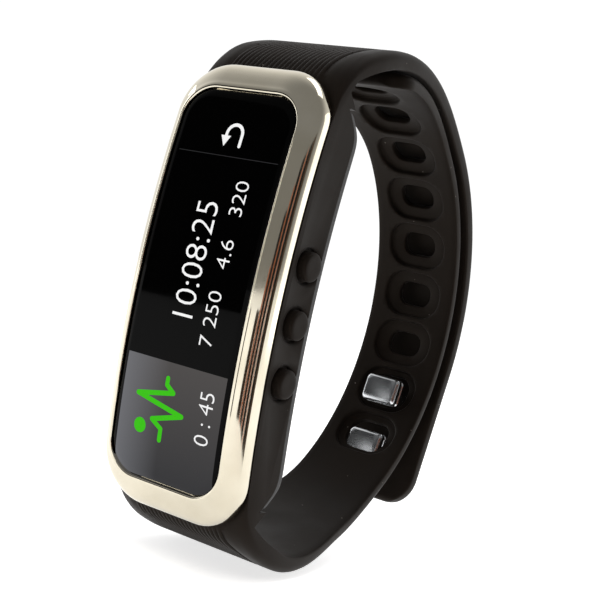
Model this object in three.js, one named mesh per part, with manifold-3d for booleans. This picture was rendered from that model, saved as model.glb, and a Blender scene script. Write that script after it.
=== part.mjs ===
// A fitness tracker band: a bowed display module in a silicone band that closes with a two-stud clasp.
// Millimetres. +X runs along the wrist towards the buttons, the display faces -Y, +Z runs up the module.
// The origin is the middle of the wrist opening.
import * as THREE from "three";
import { mergeVertices } from "three/addons/utils/BufferGeometryUtils.js";
import Module from "manifold-3d";

const wasm = await Module();
wasm.setup();

// ---- Driving dimensions -------------------------------------------------------------------------

const GAP = 0.2; // room between pieces that sit against each other
const KEY_GAP = 0.3; // room round anything that moves

// Module, seen from the front. Each outline is half width, half length and corner radius.
const MODULE_HALF_WIDTH = 11;
const MODULE_HALF_LENGTH = 28.4;
const MODULE_CORNER = 6.5;
const BEZEL_SIDE = 2.2; // width of the bezel beside the lens
const BEZEL_END = 3.8; // and beyond its ends
const LENS_HALF_WIDTH = MODULE_HALF_WIDTH - BEZEL_SIDE;
const LENS_HALF_LENGTH = MODULE_HALF_LENGTH - BEZEL_END;
const LENS_CORNER = 4.1;
const LENS_BEVEL = 0.35;
const RIM = 0.4; // the narrow rim of the bezel round the lens
const BOW_RADIUS = 150; // the whole module is bent to this radius along its length
const FRONT_Y = -32; // the middle of the lens

// Depths behind the front face, measured along +Y.
const BEZEL_DEPTH = 3.5;
const LENS_THICKNESS = 1.1;
const GASKET_THICKNESS = 0.3;
const SHELF_WIDTH = 0.8; // how far the bezel reaches in under the lens
const DISPLAY_THICKNESS = 1.3;
const CHASSIS_THICKNESS = 0.7;
const SEAL_THICKNESS = 0.4;
const BOARD_THICKNESS = 0.8;
const MODULE_DEPTH = 11.1;
const FLANGE_THICKNESS = 1.3; // the lip of the rear case that shows behind the silicone
const REAR_FLAT = MODULE_HALF_LENGTH - 6; // half length of the rear face before its ends slope away
const FLANGE_HALF_LENGTH = MODULE_HALF_LENGTH - 3.4;
const POCKET_Z = MODULE_HALF_LENGTH - 1.4; // inside corner of the band behind the module's end
const REAR_SLOPE = 1.19; // depth lost for each millimetre of length beyond it
const CASE_WALL = 1.1;

// Silicone band.
const WALL = 0.9; // silicone beside the rear case
const END_WALL = 1.5; // silicone beyond its ends
const STRAP_THICKNESS = 2.4;
const SLOTTED_THICKNESS = 1.95;
const STRAP_END_HALF_WIDTH = 7;
const STRAP_EDGE = 0.8; // bevel along the outer edges of the straps
const STRAP_TIP_RADIUS = 4.2;
const LOOP_RADIUS_Y = 27.6; // inner surface of the slotted strap
const LOOP_RADIUS_Z = MODULE_HALF_LENGTH + 2.1;
const LOOP_AHEAD = 2.6; // the loop's front would lie this far before the lens
const LOOP_CENTRE_Y = FRONT_Y - LOOP_AHEAD + LOOP_RADIUS_Y;
const LOOP_CENTRE_Z = 0.5;
const CLASP_LIFT_BACK = 1.65; // room between the two straps at the back of the wrist
const CLASP_LIFT_TOP = 0.3; // and over the module's upper end
const TAIL_STRAIGHT_FROM = rad(-11); // below this angle the clasp end runs straight
const TAIL_END = rad(-48.5);
const SLOTTED_END = rad(101);

// Hinges that stand for the bends of the silicone, as angles round the loop.
const ROOT_FROM = rad(113); // where the module's ends turn into straps, on the outer face
const ROOT_INSIDE_FROM = rad(121); // and on the inner face
const ROOT_HINGE = rad(108);
const TAIL_HINGE = rad(15);

// Slots and clasp.
const SLOT_COUNT = 9;
const SLOT_PITCH = 7.9;
const SLOT_WIDTH = 5.9;
const SLOT_HEIGHT = 3.6;
const RECESS_WIDTH = 9.8;
const RECESS_HEIGHT = 7.2;
const RECESS_DEPTH = 0.8;
const STUD_ANGLE = rad(-20.5); // the upper stud, round the loop
const STUD_PITCH = SLOT_PITCH + 0.7; // the clasp end swings wide of the slots
const STUD_SEAT = 0.2; // a stud rests this far below the middle of its slot
const STUD_HEAD_WIDTH = 5.8;
const STUD_HEAD_HEIGHT = 4.1;
const STUD_HEAD_THICKNESS = 2;
const STUD_NECK_WIDTH = 3.4;
const STUD_NECK_HEIGHT = 2.2;
const STUD_BEVEL = 0.35;
const STUD_PROUD = 2.25; // beyond the inner face of the slotted strap, where the straps run side by side
const PLATE_WIDTH = 8;
const PLATE_BEYOND = 6; // length of the plate beyond the stud pitch
const PLATE_THICKNESS = 0.8;

// Buttons.
const BUTTON_RADIUS = 1.85;
const BUTTON_PITCH = 7.25;
const BUTTON_MIDDLE_Z = -1.9;
const BUTTON_DEPTH = 7.2;
const BUTTON_PROUD = 0.75;
const BUTTON_TRAVEL = 0.45;
const BUTTON_FLANGE = 0.5; // flange beyond the cap
const BUTTON_FLANGE_THICKNESS = 0.3;
const BUTTON_BEVEL = 0.35;
const STEM_RADIUS = 0.9;

// Inside.
const SIDE_BOARD_THICKNESS = 0.6;
const SWITCH_BACK = 0.1; // solder under the key switches
const SWITCH_REACH = 1.3;
const SWITCH_PLUNGER = 0.25;
const BATTERY_ROOM = 0.6; // room at the battery's sides
const BATTERY_THICKNESS = 2.5;
const BATTERY_LENGTH = 26;
const BATTERY_Z = 1.5;
const CHIP_THICKNESS = 0.8;
const MOTION_HALF_SIZE = 1.1;
const MOTION_ROOM = 1.8; // between the motion sensor and the side board
const PROCESSOR_BESIDE = 4.8; // middle of the processor from the middle of the motion sensor
const RADIO_BESIDE = 5;
const BOARD_ROOM = 0.6; // room at the main board's sides
const BOARD_END_ROOM = 2; // and at its ends
const BOARD_CORNER = 2;
const MOTOR_RADIUS = 3.8;
const MOTOR_THICKNESS = 2.6;
const SCREW_INSET_X = 3.8; // from the rear case's sides
const SCREW_INSET_Z = 5.8; // from its ends
const SCREW_LENGTH = 4;
const SCREW_RADIUS = 0.55;
const SCREW_HEAD_RADIUS = 1.1;
const SCREW_HEAD_THICKNESS = 0.6;
const POST_RADIUS = 1.25;
const CONTACT_RADIUS = 0.9;
const CONTACT_SPACING = 4;
const CONTACT_Z = 12;
const PAD_WIDTH = 9;
const PAD_HEIGHT = 4.6;
const PAD_PROUD = 0.5;

// ---- Helpers ------------------------------------------------------------------------------------

function rad(degrees) {
  return (degrees * Math.PI) / 180;
}

// A closed geometry as a manifold solid.
function solid(geometry) {
  const bare = geometry.index ? geometry.toNonIndexed() : geometry.clone();
  bare.deleteAttribute("normal");
  bare.deleteAttribute("uv");
  const merged = mergeVertices(bare, 1e-4);
  const made = new wasm.Manifold(
    new wasm.Mesh({
      numProp: 3,
      vertProperties: merged.attributes.position.array,
      triVerts: new Uint32Array(merged.index.array),
    }),
  );
  return made;
}

function geometryOf(manifold) {
  const mesh = manifold.getMesh();
  const geometry = new THREE.BufferGeometry();
  geometry.setAttribute("position", new THREE.BufferAttribute(mesh.vertProperties, 3));
  geometry.setIndex(new THREE.BufferAttribute(mesh.triVerts, 1));
  const faceted = geometry.toNonIndexed();
  faceted.computeVertexNormals();
  return faceted;
}

// How far a point at height z lies behind the middle of its layer.
function bow(z) {
  return BOW_RADIUS - Math.sqrt(BOW_RADIUS * BOW_RADIUS - z * z);
}

function layerY(depth, z) {
  return FRONT_Y + depth + bow(z);
}

function box(x0, x1, y0, y1, z0, z1) {
  const geometry = new THREE.BoxGeometry(x1 - x0, y1 - y0, z1 - z0);
  return solid(geometry.translate((x0 + x1) / 2, (y0 + y1) / 2, (z0 + z1) / 2));
}

const FACETS = 16;

// A disc whose axis runs along X, or along Y.
function discX(radius, x0, x1, y, z) {
  const geometry = new THREE.CylinderGeometry(radius, radius, x1 - x0, FACETS);
  return solid(geometry.rotateZ(Math.PI / 2).translate((x0 + x1) / 2, y, z));
}

function discY(radius, x, y0, y1, z) {
  const geometry = new THREE.CylinderGeometry(radius, radius, y1 - y0, FACETS);
  return solid(geometry.translate(x, (y0 + y1) / 2, z));
}

const CORNER_STEPS = 4;
const SIDE_STEPS = 10;

// Half the rounded outline of a layer, from its lower end to its upper end: points (half width, z).
function outlineStations(halfWidth, halfLength, corner) {
  const stations = [];
  for (let i = 0; i <= CORNER_STEPS; i++) {
    const turn = (i / CORNER_STEPS) * (Math.PI / 2);
    const x = halfWidth - corner + corner * Math.sin(turn);
    stations.push([x, -(halfLength - corner + corner * Math.cos(turn))]);
  }
  for (let i = 1; i < SIDE_STEPS; i++) {
    stations.push([halfWidth, (halfLength - corner) * (-1 + (2 * i) / SIDE_STEPS)]);
  }
  const upper = stations.slice(0, CORNER_STEPS + 1).map(([x, z]) => [x, -z]);
  return stations.concat(upper.reverse());
}

// A bowed slab through layers [half width, half length, corner, depth], listed from front to rear.
// The shape's x is a side and its y is a layer number; both are turned into places station by station.
function bowedSlab(layers) {
  const shape = new THREE.Shape();
  layers.forEach((layer, k) => (k ? shape.lineTo(1, k) : shape.moveTo(1, 0)));
  for (let k = layers.length - 1; k >= 0; k--) shape.lineTo(-1, k);
  const tables = layers.map(([w, l, r]) => outlineStations(w, l, r));
  const steps = tables[0].length - 1;
  const geometry = new THREE.ExtrudeGeometry(shape, { depth: steps, steps, bevelEnabled: false });
  const place = geometry.attributes.position;
  const corner = (layer, station, side) => {
    const [x, z] = tables[layer][station];
    return [side * x, layerY(layers[layer][3], z), z];
  };
  for (let i = 0; i < place.count; i++) {
    const side = Math.sign(place.getX(i));
    place.setXYZ(i, ...corner(Math.round(place.getY(i)), Math.round(place.getZ(i)), side));
  }
  // The two ends are closed again layer by layer, so that each strip across them is flat.
  const points = Array.from(place.array).slice(3 * geometry.groups[0].count);
  for (let k = 0; k < layers.length - 1; k++) {
    for (const [station, turn] of [[0, -1], [steps, 1]]) {
      const a = corner(k, station, -turn);
      const b = corner(k, station, turn);
      const c = corner(k + 1, station, turn);
      const d = corner(k + 1, station, -turn);
      points.push(...a, ...b, ...c, ...a, ...c, ...d);
    }
  }
  const closed = new THREE.BufferGeometry();
  closed.setAttribute("position", new THREE.Float32BufferAttribute(points, 3));
  return solid(closed);
}

// A slab with straight sides between two depths.
function bowedPlate(halfWidth, halfLength, corner, front, rear) {
  const outline = [halfWidth, halfLength, corner];
  return bowedSlab([
    [...outline, front],
    [...outline, rear],
  ]);
}

// A side profile of (y, z) points pushed out across the width from x0 to x1.
function acrossWidth(points, x0, x1) {
  const shape = new THREE.Shape(points.map(([y, z]) => new THREE.Vector2(y, z)));
  const geometry = new THREE.ExtrudeGeometry(shape, { depth: x1 - x0, bevelEnabled: false });
  // (y, z, x) becomes (x, y, z)
  geometry.applyMatrix4(new THREE.Matrix4().set(0, 0, 1, x0, 1, 0, 0, 0, 0, 1, 0, 0, 0, 0, 0, 1));
  return solid(geometry);
}

// A rectangle with rounded corners, as a shape about its own centre.
function roundedShape(width, height, corner) {
  const w = width / 2;
  const h = height / 2;
  const shape = new THREE.Shape();
  shape.absarc(w - corner, h - corner, corner, 0, Math.PI / 2);
  shape.absarc(corner - w, h - corner, corner, Math.PI / 2, Math.PI);
  shape.absarc(corner - w, corner - h, corner, Math.PI, 1.5 * Math.PI);
  shape.absarc(w - corner, corner - h, corner, 1.5 * Math.PI, 2 * Math.PI);
  return shape;
}

const group = new THREE.Group();

const FINISHES = {
  polished: { color: 0xc9c2b0, roughness: 0.12, metalness: 1 },
  glass: { color: 0x050506, roughness: 0.05, metalness: 0 },
  silicone: { color: 0x141312, roughness: 0.6, metalness: 0 },
  plastic: { color: 0x1b1b1c, roughness: 0.5, metalness: 0 },
  steel: { color: 0xc8cacb, roughness: 0.2, metalness: 1 },
  gold: { color: 0xd8b35a, roughness: 0.3, metalness: 1 },
  board: { color: 0x0f4a2c, roughness: 0.5, metalness: 0 },
  chip: { color: 0x18181a, roughness: 0.6, metalness: 0 },
  foil: { color: 0xb9bcc0, roughness: 0.4, metalness: 1 },
  film: { color: 0xb06a1e, roughness: 0.5, metalness: 0 },
};

function add(name, manifold, finish) {
  const mesh = new THREE.Mesh(geometryOf(manifold), new THREE.MeshStandardMaterial(FINISHES[finish]));
  mesh.name = name;
  group.add(mesh);
}

// ---- Depths worked out from the stack -----------------------------------------------------------

const gasketFront = LENS_THICKNESS + GAP / 2;
const gasketRear = gasketFront + GASKET_THICKNESS;
const shelfFront = gasketRear + GAP / 2;
const displayFront = LENS_THICKNESS + GAP;
const displayRear = displayFront + DISPLAY_THICKNESS;
const chassisFront = displayRear + GAP;
const chassisRear = chassisFront + CHASSIS_THICKNESS;
const sealFront = BEZEL_DEPTH + GAP;
const sealRear = sealFront + SEAL_THICKNESS;
const caseFront = sealRear + GAP;
const boardFront = Math.max(chassisRear, caseFront) + GAP;
const boardRear = boardFront + BOARD_THICKNESS;
const caseHalfWidth = MODULE_HALF_WIDTH - WALL - GAP;
const caseHalfLength = MODULE_HALF_LENGTH - END_WALL - GAP;
const caseCorner = MODULE_CORNER - WALL - GAP;
const caseFloor = MODULE_DEPTH - CASE_WALL;
const screwX = caseHalfWidth - SCREW_INSET_X;
const screwZ = caseHalfLength - SCREW_INSET_Z;
// The key stems end inside the case wall; the switches wait beyond their travel.
const stemEnd = caseHalfWidth - CASE_WALL - GAP;
const switchFace = stemEnd - BUTTON_TRAVEL - GAP - SWITCH_PLUNGER;
const sideBoardX = switchFace - SWITCH_REACH - SWITCH_BACK - SIDE_BOARD_THICKNESS;

// ---- Front: bezel, lens, gasket, display --------------------------------------------------------

function addFront() {
  const outer = bowedSlab([
    [LENS_HALF_WIDTH + RIM, LENS_HALF_LENGTH + RIM, LENS_CORNER + RIM, 0],
    [MODULE_HALF_WIDTH - 0.4, MODULE_HALF_LENGTH - 0.6, MODULE_CORNER - 0.3, 1],
    [MODULE_HALF_WIDTH, MODULE_HALF_LENGTH, MODULE_CORNER, 1.8],
    [MODULE_HALF_WIDTH, MODULE_HALF_LENGTH, MODULE_CORNER, BEZEL_DEPTH],
  ]);
  const seat = bowedPlate(LENS_HALF_WIDTH, LENS_HALF_LENGTH, LENS_CORNER, -2, shelfFront);
  const inner = [LENS_HALF_WIDTH - SHELF_WIDTH, LENS_HALF_LENGTH - SHELF_WIDTH, LENS_CORNER - SHELF_WIDTH];
  const opening = bowedPlate(...inner, -2, BEZEL_DEPTH + 2);
  add("bezel_frame", outer.subtract(seat).subtract(opening), "polished");

  const fit = GAP / 2;
  const lens = [LENS_HALF_WIDTH - fit, LENS_HALF_LENGTH - fit, LENS_CORNER - fit];
  const face = lens.map((size) => size - LENS_BEVEL);
  const glass = bowedSlab([
    [...face, 0],
    [...lens, LENS_BEVEL / 2],
    [...lens, LENS_THICKNESS],
  ]);
  add("cover_lens", glass, "glass");

  const ring = bowedPlate(...lens, gasketFront, gasketRear);
  const hole = bowedPlate(...inner.map((size) => size + fit), gasketFront - 1, gasketRear + 1);
  add("lens_gasket", ring.subtract(hole), "plastic");

  const panel = inner.map((size) => size - KEY_GAP);
  add("display_panel", bowedPlate(...panel, displayFront, displayRear), "glass");
}

// ---- Rear case ----------------------------------------------------------------------------------

// Depth of the rear face at height z: flat, then sloping away towards the ends.
function rearDepth(z) {
  return MODULE_DEPTH - REAR_SLOPE * Math.max(0, Math.abs(z) - REAR_FLAT);
}

// Side profile of everything between a constant depth and the rear face moved by an offset.
function rearProfile(front, offset, halfLength) {
  const heights = [];
  const count = 8;
  for (let i = 0; i <= count; i++) heights.push(REAR_FLAT * (-1 + (2 * i) / count));
  const all = [-halfLength, ...heights, halfLength];
  const rear = all.map((z) => [layerY(rearDepth(z) + offset, z), z]);
  const fore = all.map((z) => [layerY(front, z), z]).reverse();
  return [...rear, ...fore];
}

const screwPlaces = [-1, 1].flatMap((side) => [-1, 1].map((end) => [side * screwX, end * screwZ]));
const buttonHeights = [1, 0, -1].map((k) => BUTTON_MIDDLE_Z + k * BUTTON_PITCH);
const padY = layerY(MODULE_DEPTH, CONTACT_Z) + PAD_PROUD;
const contactPlaces = [-1, 1].map((side) => (side * CONTACT_SPACING) / 2);
const counterbore = GAP + BUTTON_FLANGE_THICKNESS - 0.05;

function addRearCase() {
  const plan = bowedPlate(caseHalfWidth, caseHalfLength, caseCorner, caseFront, MODULE_DEPTH + 3);
  const tub = plan.intersect(
    acrossWidth(rearProfile(caseFront, 0, caseHalfLength + 1), -MODULE_HALF_WIDTH, MODULE_HALF_WIDTH),
  );
  const flangeWidth = MODULE_HALF_WIDTH - KEY_GAP;
  const flangePoints = rearProfile(0, 0, FLANGE_HALF_LENGTH).slice(0, 11);
  const inside = flangePoints.map(([y, z]) => [y - FLANGE_THICKNESS, z]).reverse();
  const flange = acrossWidth([...flangePoints, ...inside], -flangeWidth, flangeWidth);
  const cavity = bowedPlate(
    caseHalfWidth - CASE_WALL,
    caseHalfLength - CASE_WALL,
    caseCorner - CASE_WALL,
    caseFront - 1,
    MODULE_DEPTH + 3,
  ).intersect(
    acrossWidth(rearProfile(0, -CASE_WALL, caseHalfLength + 1), -MODULE_HALF_WIDTH, MODULE_HALF_WIDTH),
  );
  const padFront = layerY(caseFloor, CONTACT_Z) + 0.2;
  const pad = box(
    -PAD_WIDTH / 2,
    PAD_WIDTH / 2,
    padFront,
    padY,
    CONTACT_Z - PAD_HEIGHT / 2,
    CONTACT_Z + PAD_HEIGHT / 2,
  );
  let shell = tub.add(flange).subtract(cavity).add(pad);
  for (const z of buttonHeights) {
    const y = layerY(BUTTON_DEPTH, z);
    const flangeRoom = BUTTON_RADIUS + BUTTON_FLANGE + KEY_GAP;
    shell = shell.subtract(discX(STEM_RADIUS + KEY_GAP, 5, MODULE_HALF_WIDTH, y, z));
    shell = shell.subtract(discX(flangeRoom, caseHalfWidth - counterbore, MODULE_HALF_WIDTH, y, z));
  }
  for (const [x, z] of screwPlaces) {
    const y = layerY(MODULE_DEPTH, z);
    shell = shell.subtract(discY(SCREW_RADIUS + GAP, x, y - SCREW_LENGTH, y + 1, z));
    shell = shell.subtract(discY(SCREW_HEAD_RADIUS + GAP, x, y - SCREW_HEAD_THICKNESS - GAP, y + 1, z));
  }
  for (const x of contactPlaces) {
    shell = shell.subtract(discY(CONTACT_RADIUS + GAP, x, padFront - 4, padY + 1, CONTACT_Z));
  }
  add("rear_case", shell, "plastic");

  const sealOuter = [caseHalfWidth - GAP, caseHalfLength - GAP, caseCorner - GAP];
  const sealInner = sealOuter.map((size) => size - CASE_WALL + 2 * GAP);
  const seal = bowedPlate(...sealOuter, sealFront, sealRear);
  add("case_seal", seal.subtract(bowedPlate(...sealInner, sealFront - 1, sealRear + 1)), "silicone");

  screwPlaces.forEach(([x, z], i) => {
    const y = layerY(MODULE_DEPTH, z) - GAP / 2;
    const head = discY(SCREW_HEAD_RADIUS, x, y - SCREW_HEAD_THICKNESS, y, z);
    const shank = discY(SCREW_RADIUS, x, y - SCREW_LENGTH, y - SCREW_HEAD_THICKNESS / 2, z);
    add(`case_screw_${i + 1}`, head.add(shank), "steel");
  });
  contactPlaces.forEach((x, i) => {
    add(`charge_contact_${i + 1}`, discY(CONTACT_RADIUS, x, padFront - 1, padY + 0.1, CONTACT_Z), "gold");
  });
}

// ---- Inside the module --------------------------------------------------------------------------

function addChassisAndBoard() {
  const halfWidth = LENS_HALF_WIDTH - SHELF_WIDTH - KEY_GAP;
  const halfLength = screwZ + POST_RADIUS;
  let chassis = bowedPlate(halfWidth, halfLength, 1.2, chassisFront, chassisRear);
  const boardHalfWidth = caseHalfWidth - CASE_WALL - BOARD_ROOM;
  const boardHalfLength = caseHalfLength - CASE_WALL - BOARD_END_ROOM;
  let board = bowedPlate(boardHalfWidth, boardHalfLength, BOARD_CORNER, boardFront, boardRear);
  for (const [x, z] of screwPlaces) {
    const floor = layerY(caseFloor, z) - GAP;
    const post = discY(POST_RADIUS, x, layerY(chassisFront, z) + 0.2, floor, z);
    chassis = chassis.add(post).subtract(discY(SCREW_RADIUS + GAP, x, floor - 3.6, floor + 1, z));
    board = board.subtract(discY(POST_RADIUS + GAP, x, FRONT_Y, 0, z));
  }
  add("inner_chassis", chassis, "plastic");
  add("main_board", board, "board");

  // The ribbon leaves the display, turns round the end of the chassis and meets the board.
  const thickness = 0.12;
  const turnZ = halfLength + 0.35;
  const front = displayRear + 0.04;
  const rear = boardFront - 0.04;
  const route = [
    [front, halfLength - 3],
    [front, turnZ + thickness],
    [rear, turnZ + thickness],
    [rear, halfLength - 3],
    [rear - thickness, halfLength - 3],
    [rear - thickness, turnZ],
    [front + thickness, turnZ],
    [front + thickness, halfLength - 3],
  ];
  add("display_flex", acrossWidth(route.map(([d, z]) => [layerY(d, z), z]), -3, 3), "film");
}

function addElectronics() {
  const chipFront = boardRear + 0.25;
  const motionX = sideBoardX - MOTION_ROOM - MOTION_HALF_SIZE;
  const chips = [
    ["processor_chip", motionX - PROCESSOR_BESIDE, 12, 2.6, 2.6],
    ["radio_chip", motionX - RADIO_BESIDE, 5.6, 2, 1.6],
    ["motion_sensor", motionX, 8, MOTION_HALF_SIZE, MOTION_HALF_SIZE],
  ];
  for (const [name, x, z, halfX, halfZ] of chips) {
    const y = layerY(chipFront, z + halfZ);
    add(name, box(x - halfX, x + halfX, y, y + CHIP_THICKNESS, z - halfZ, z + halfZ), "chip");
  }
  const y = layerY(chipFront + CHIP_THICKNESS + 0.15, BATTERY_LENGTH / 2);
  const left = BATTERY_ROOM - caseHalfWidth + CASE_WALL;
  const right = sideBoardX - BATTERY_ROOM - 0.1;
  const cell = roundedShape(right - left, BATTERY_LENGTH, 1);
  const geometry = new THREE.ExtrudeGeometry(cell, {
    depth: BATTERY_THICKNESS,
    bevelEnabled: false,
    curveSegments: 3,
  });
  geometry.rotateX(Math.PI / 2).translate((left + right) / 2, y + BATTERY_THICKNESS, BATTERY_Z);
  add("battery", solid(geometry), "foil");

  const motorZ = BATTERY_Z - BATTERY_LENGTH / 2 - MOTOR_RADIUS - 1;
  const motorY = layerY(chipFront, motorZ) + 0.2;
  add("vibration_motor", discY(MOTOR_RADIUS, -1, motorY, motorY + MOTOR_THICKNESS, motorZ), "steel");
}

function addButtons() {
  const names = ["upper", "middle", "lower"];
  const boardHigh = buttonHeights[0] + 3;
  const boardLow = buttonHeights[2] - 3;
  const boardY = layerY(BUTTON_DEPTH, BUTTON_MIDDLE_Z);
  const halfDepth = 1.2;
  const boardBox = box(
    sideBoardX,
    sideBoardX + SIDE_BOARD_THICKNESS,
    boardY - halfDepth,
    boardY + halfDepth,
    boardLow,
    boardHigh,
  );
  add("side_board", boardBox, "board");
  buttonHeights.forEach((z, i) => {
    const y = layerY(BUTTON_DEPTH, z);
    const face = MODULE_HALF_WIDTH + BUTTON_PROUD;
    const flangeX = caseHalfWidth + GAP;
    const cap = discX(BUTTON_RADIUS, flangeX, face - BUTTON_BEVEL + 0.05, y, z);
    const bevel = [BUTTON_RADIUS - BUTTON_BEVEL, BUTTON_RADIUS, BUTTON_BEVEL];
    const crown = new THREE.CylinderGeometry(...bevel, FACETS);
    crown.rotateZ(-Math.PI / 2).translate(face - BUTTON_BEVEL / 2, y, z);
    const flangeRadius = BUTTON_RADIUS + BUTTON_FLANGE;
    const flange = discX(flangeRadius, flangeX, flangeX + BUTTON_FLANGE_THICKNESS, y, z);
    const stem = discX(STEM_RADIUS, stemEnd, flangeX + 0.1, y, z);
    add(`side_button_${names[i]}`, cap.add(solid(crown)).add(flange).add(stem), "silicone");

    const body = box(switchFace - SWITCH_REACH, switchFace, y - 1.1, y + 1.1, z - 1.6, z + 1.6);
    const plunger = discX(0.6, switchFace - 0.1, switchFace + SWITCH_PLUNGER, y, z);
    add(`tact_switch_${names[i]}`, body.add(plunger), "steel");
  });
}

// ---- Silicone band ------------------------------------------------------------------------------

// A surface of the loop: an ellipse about the loop's centre, measured by the angle from the back of
// the wrist, and straight beyond the angle where the ellipse stops. Gives (y, z) at a distance outwards.
function loopSurface(radiusY, radiusZ, straightFrom = -Infinity) {
  return (angle, out) => {
    const a = radiusY + out;
    const b = radiusZ + out;
    const held = Math.max(angle, straightFrom);
    const y = LOOP_CENTRE_Y + a * Math.cos(held);
    const z = LOOP_CENTRE_Z + b * Math.sin(held);
    const run = (held - angle) * radiusZ;
    const tangent = new THREE.Vector2(a * Math.sin(held), -b * Math.cos(held)).normalize();
    return [y + run * tangent.x, z + run * tangent.y];
  };
}

const claspRadii = [
  LOOP_RADIUS_Y + SLOTTED_THICKNESS + CLASP_LIFT_BACK,
  LOOP_RADIUS_Z + SLOTTED_THICKNESS + CLASP_LIFT_TOP,
];
const rootSurface = loopSurface(...claspRadii);
const claspSurface = loopSurface(...claspRadii, TAIL_STRAIGHT_FROM);
const wristSurface = loopSurface(LOOP_RADIUS_Y, LOOP_RADIUS_Z);

function rootPoint(angle, share) {
  return rootSurface(angle, share * STRAP_THICKNESS);
}

// Points through each strap: share 0 is its inner face and share 1 its outer face.
function claspPoint(angle, share) {
  return claspSurface(angle, share * STRAP_THICKNESS);
}

// The slotted strap leaves the module on the clasp strap's ellipse and eases on to the inner one.
const EASE_FROM = rad(-106);
const EASE_TO = rad(-74);
function slottedPoint(angle, share) {
  const ease = THREE.MathUtils.smoothstep(angle, EASE_FROM, EASE_TO);
  const [y0, z0] = rootSurface(angle, share * STRAP_THICKNESS);
  const [y1, z1] = wristSurface(angle, share * SLOTTED_THICKNESS);
  return [y0 + (y1 - y0) * ease, z0 + (z1 - z0) * ease];
}

// Both straps taper from the module's width to their ends' width.
const TAPER_FROM = rad(112);
const TAPER_TO = rad(50);
function strapHalfWidth(angle) {
  const taper = 1 - THREE.MathUtils.smoothstep(Math.abs(angle), TAPER_TO, TAPER_FROM);
  return MODULE_HALF_WIDTH + (STRAP_END_HALF_WIDTH - MODULE_HALF_WIDTH) * taper;
}

// A strap between two angles. Its rounded end, where it has one, is drawn in over the last few degrees.
function strap(point, from, to, steps, tipRadius = 0) {
  const shape = new THREE.Shape();
  shape.moveTo(1, 0);
  shape.lineTo(1, 0.6);
  shape.lineTo(0.5, 1);
  shape.lineTo(-0.5, 1);
  shape.lineTo(-1, 0.6);
  shape.lineTo(-1, 0);
  const geometry = new THREE.ExtrudeGeometry(shape, { depth: steps, steps, bevelEnabled: false });
  const place = geometry.attributes.position;
  const tipTurn = tipRadius / LOOP_RADIUS_Z;
  for (let i = 0; i < place.count; i++) {
    const angle = from + ((to - from) * place.getZ(i)) / steps;
    const toTip = Math.abs(to - angle) / Math.max(tipTurn, 1e-6);
    const round = toTip < 1 ? tipRadius * (1 - Math.sqrt(Math.max(0, 1 - (1 - toTip) ** 2))) : 0;
    const side = place.getX(i);
    const edge = Math.abs(side) < 0.75 ? STRAP_EDGE : 0;
    const x = Math.max(1, strapHalfWidth(angle) - round - edge);
    place.setXYZ(i, Math.sign(side) * x, ...point(angle, place.getY(i)));
  }
  const made = solid(geometry);
  return made.volume() > 0 ? made : solid(flipped(geometry));
}

function flipped(geometry) {
  const copy = geometry.toNonIndexed();
  const place = copy.attributes.position;
  for (let i = 0; i < place.count; i += 3) {
    const [x, y, z] = [place.getX(i), place.getY(i), place.getZ(i)];
    place.setXYZ(i, place.getX(i + 1), place.getY(i + 1), place.getZ(i + 1));
    place.setXYZ(i + 1, x, y, z);
  }
  return copy;
}

// The frame on a strap at an angle: x across, y inwards through the strap, z down along it.
function strapFrame(point, angle, share) {
  const [y, z] = point(angle, share);
  const [ya, za] = point(angle + 0.002, share);
  const [yb, zb] = point(angle - 0.002, share);
  const down = new THREE.Vector3(0, yb - ya, zb - za).normalize();
  const across = new THREE.Vector3(1, 0, 0);
  const inwards = new THREE.Vector3().crossVectors(down, across);
  return new THREE.Matrix4().makeBasis(across, inwards, down).setPosition(0, y, z);
}

// A rounded rectangle standing on a strap, from one distance inwards to another.
function padOn(frame, width, height, corner, y0, y1, bevel = 0) {
  const geometry = new THREE.ExtrudeGeometry(roundedShape(width - 2 * bevel, height - 2 * bevel, corner), {
    depth: y1 - y0 - bevel,
    bevelEnabled: bevel > 0,
    bevelThickness: bevel,
    bevelSize: bevel,
    bevelSegments: 1,
    curveSegments: 3,
  });
  // The shape's own z becomes the inward direction.
  geometry.rotateX(-Math.PI / 2).translate(0, y0, 0);
  return solid(geometry.applyMatrix4(frame));
}

// The angle reached by running a distance along a strap's middle.
function angleAlong(point, from, distance) {
  const step = rad(0.05) * Math.sign(distance);
  let angle = from;
  let [y, z] = point(angle, 0.5);
  for (let run = 0; run < Math.abs(distance); ) {
    angle += step;
    const [y1, z1] = point(angle, 0.5);
    run += Math.hypot(y1 - y, z1 - z);
    [y, z] = [y1, z1];
  }
  return angle;
}

// Room for a hinge: the round knuckle of the piece that swings.
function hingeRoom(point, angle, thickness) {
  const [y, z] = point(angle, 0.5);
  const radius = thickness / 2 + KEY_GAP;
  return discX(radius, -20, 20, y, z);
}

function knuckle(point, angle, thickness) {
  const [y, z] = point(angle, 0.5);
  const half = strapHalfWidth(angle);
  return discX(thickness / 2, -half, half, y, z);
}

const SLEEVE_LIP = MODULE_HALF_LENGTH + GAP;

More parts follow.
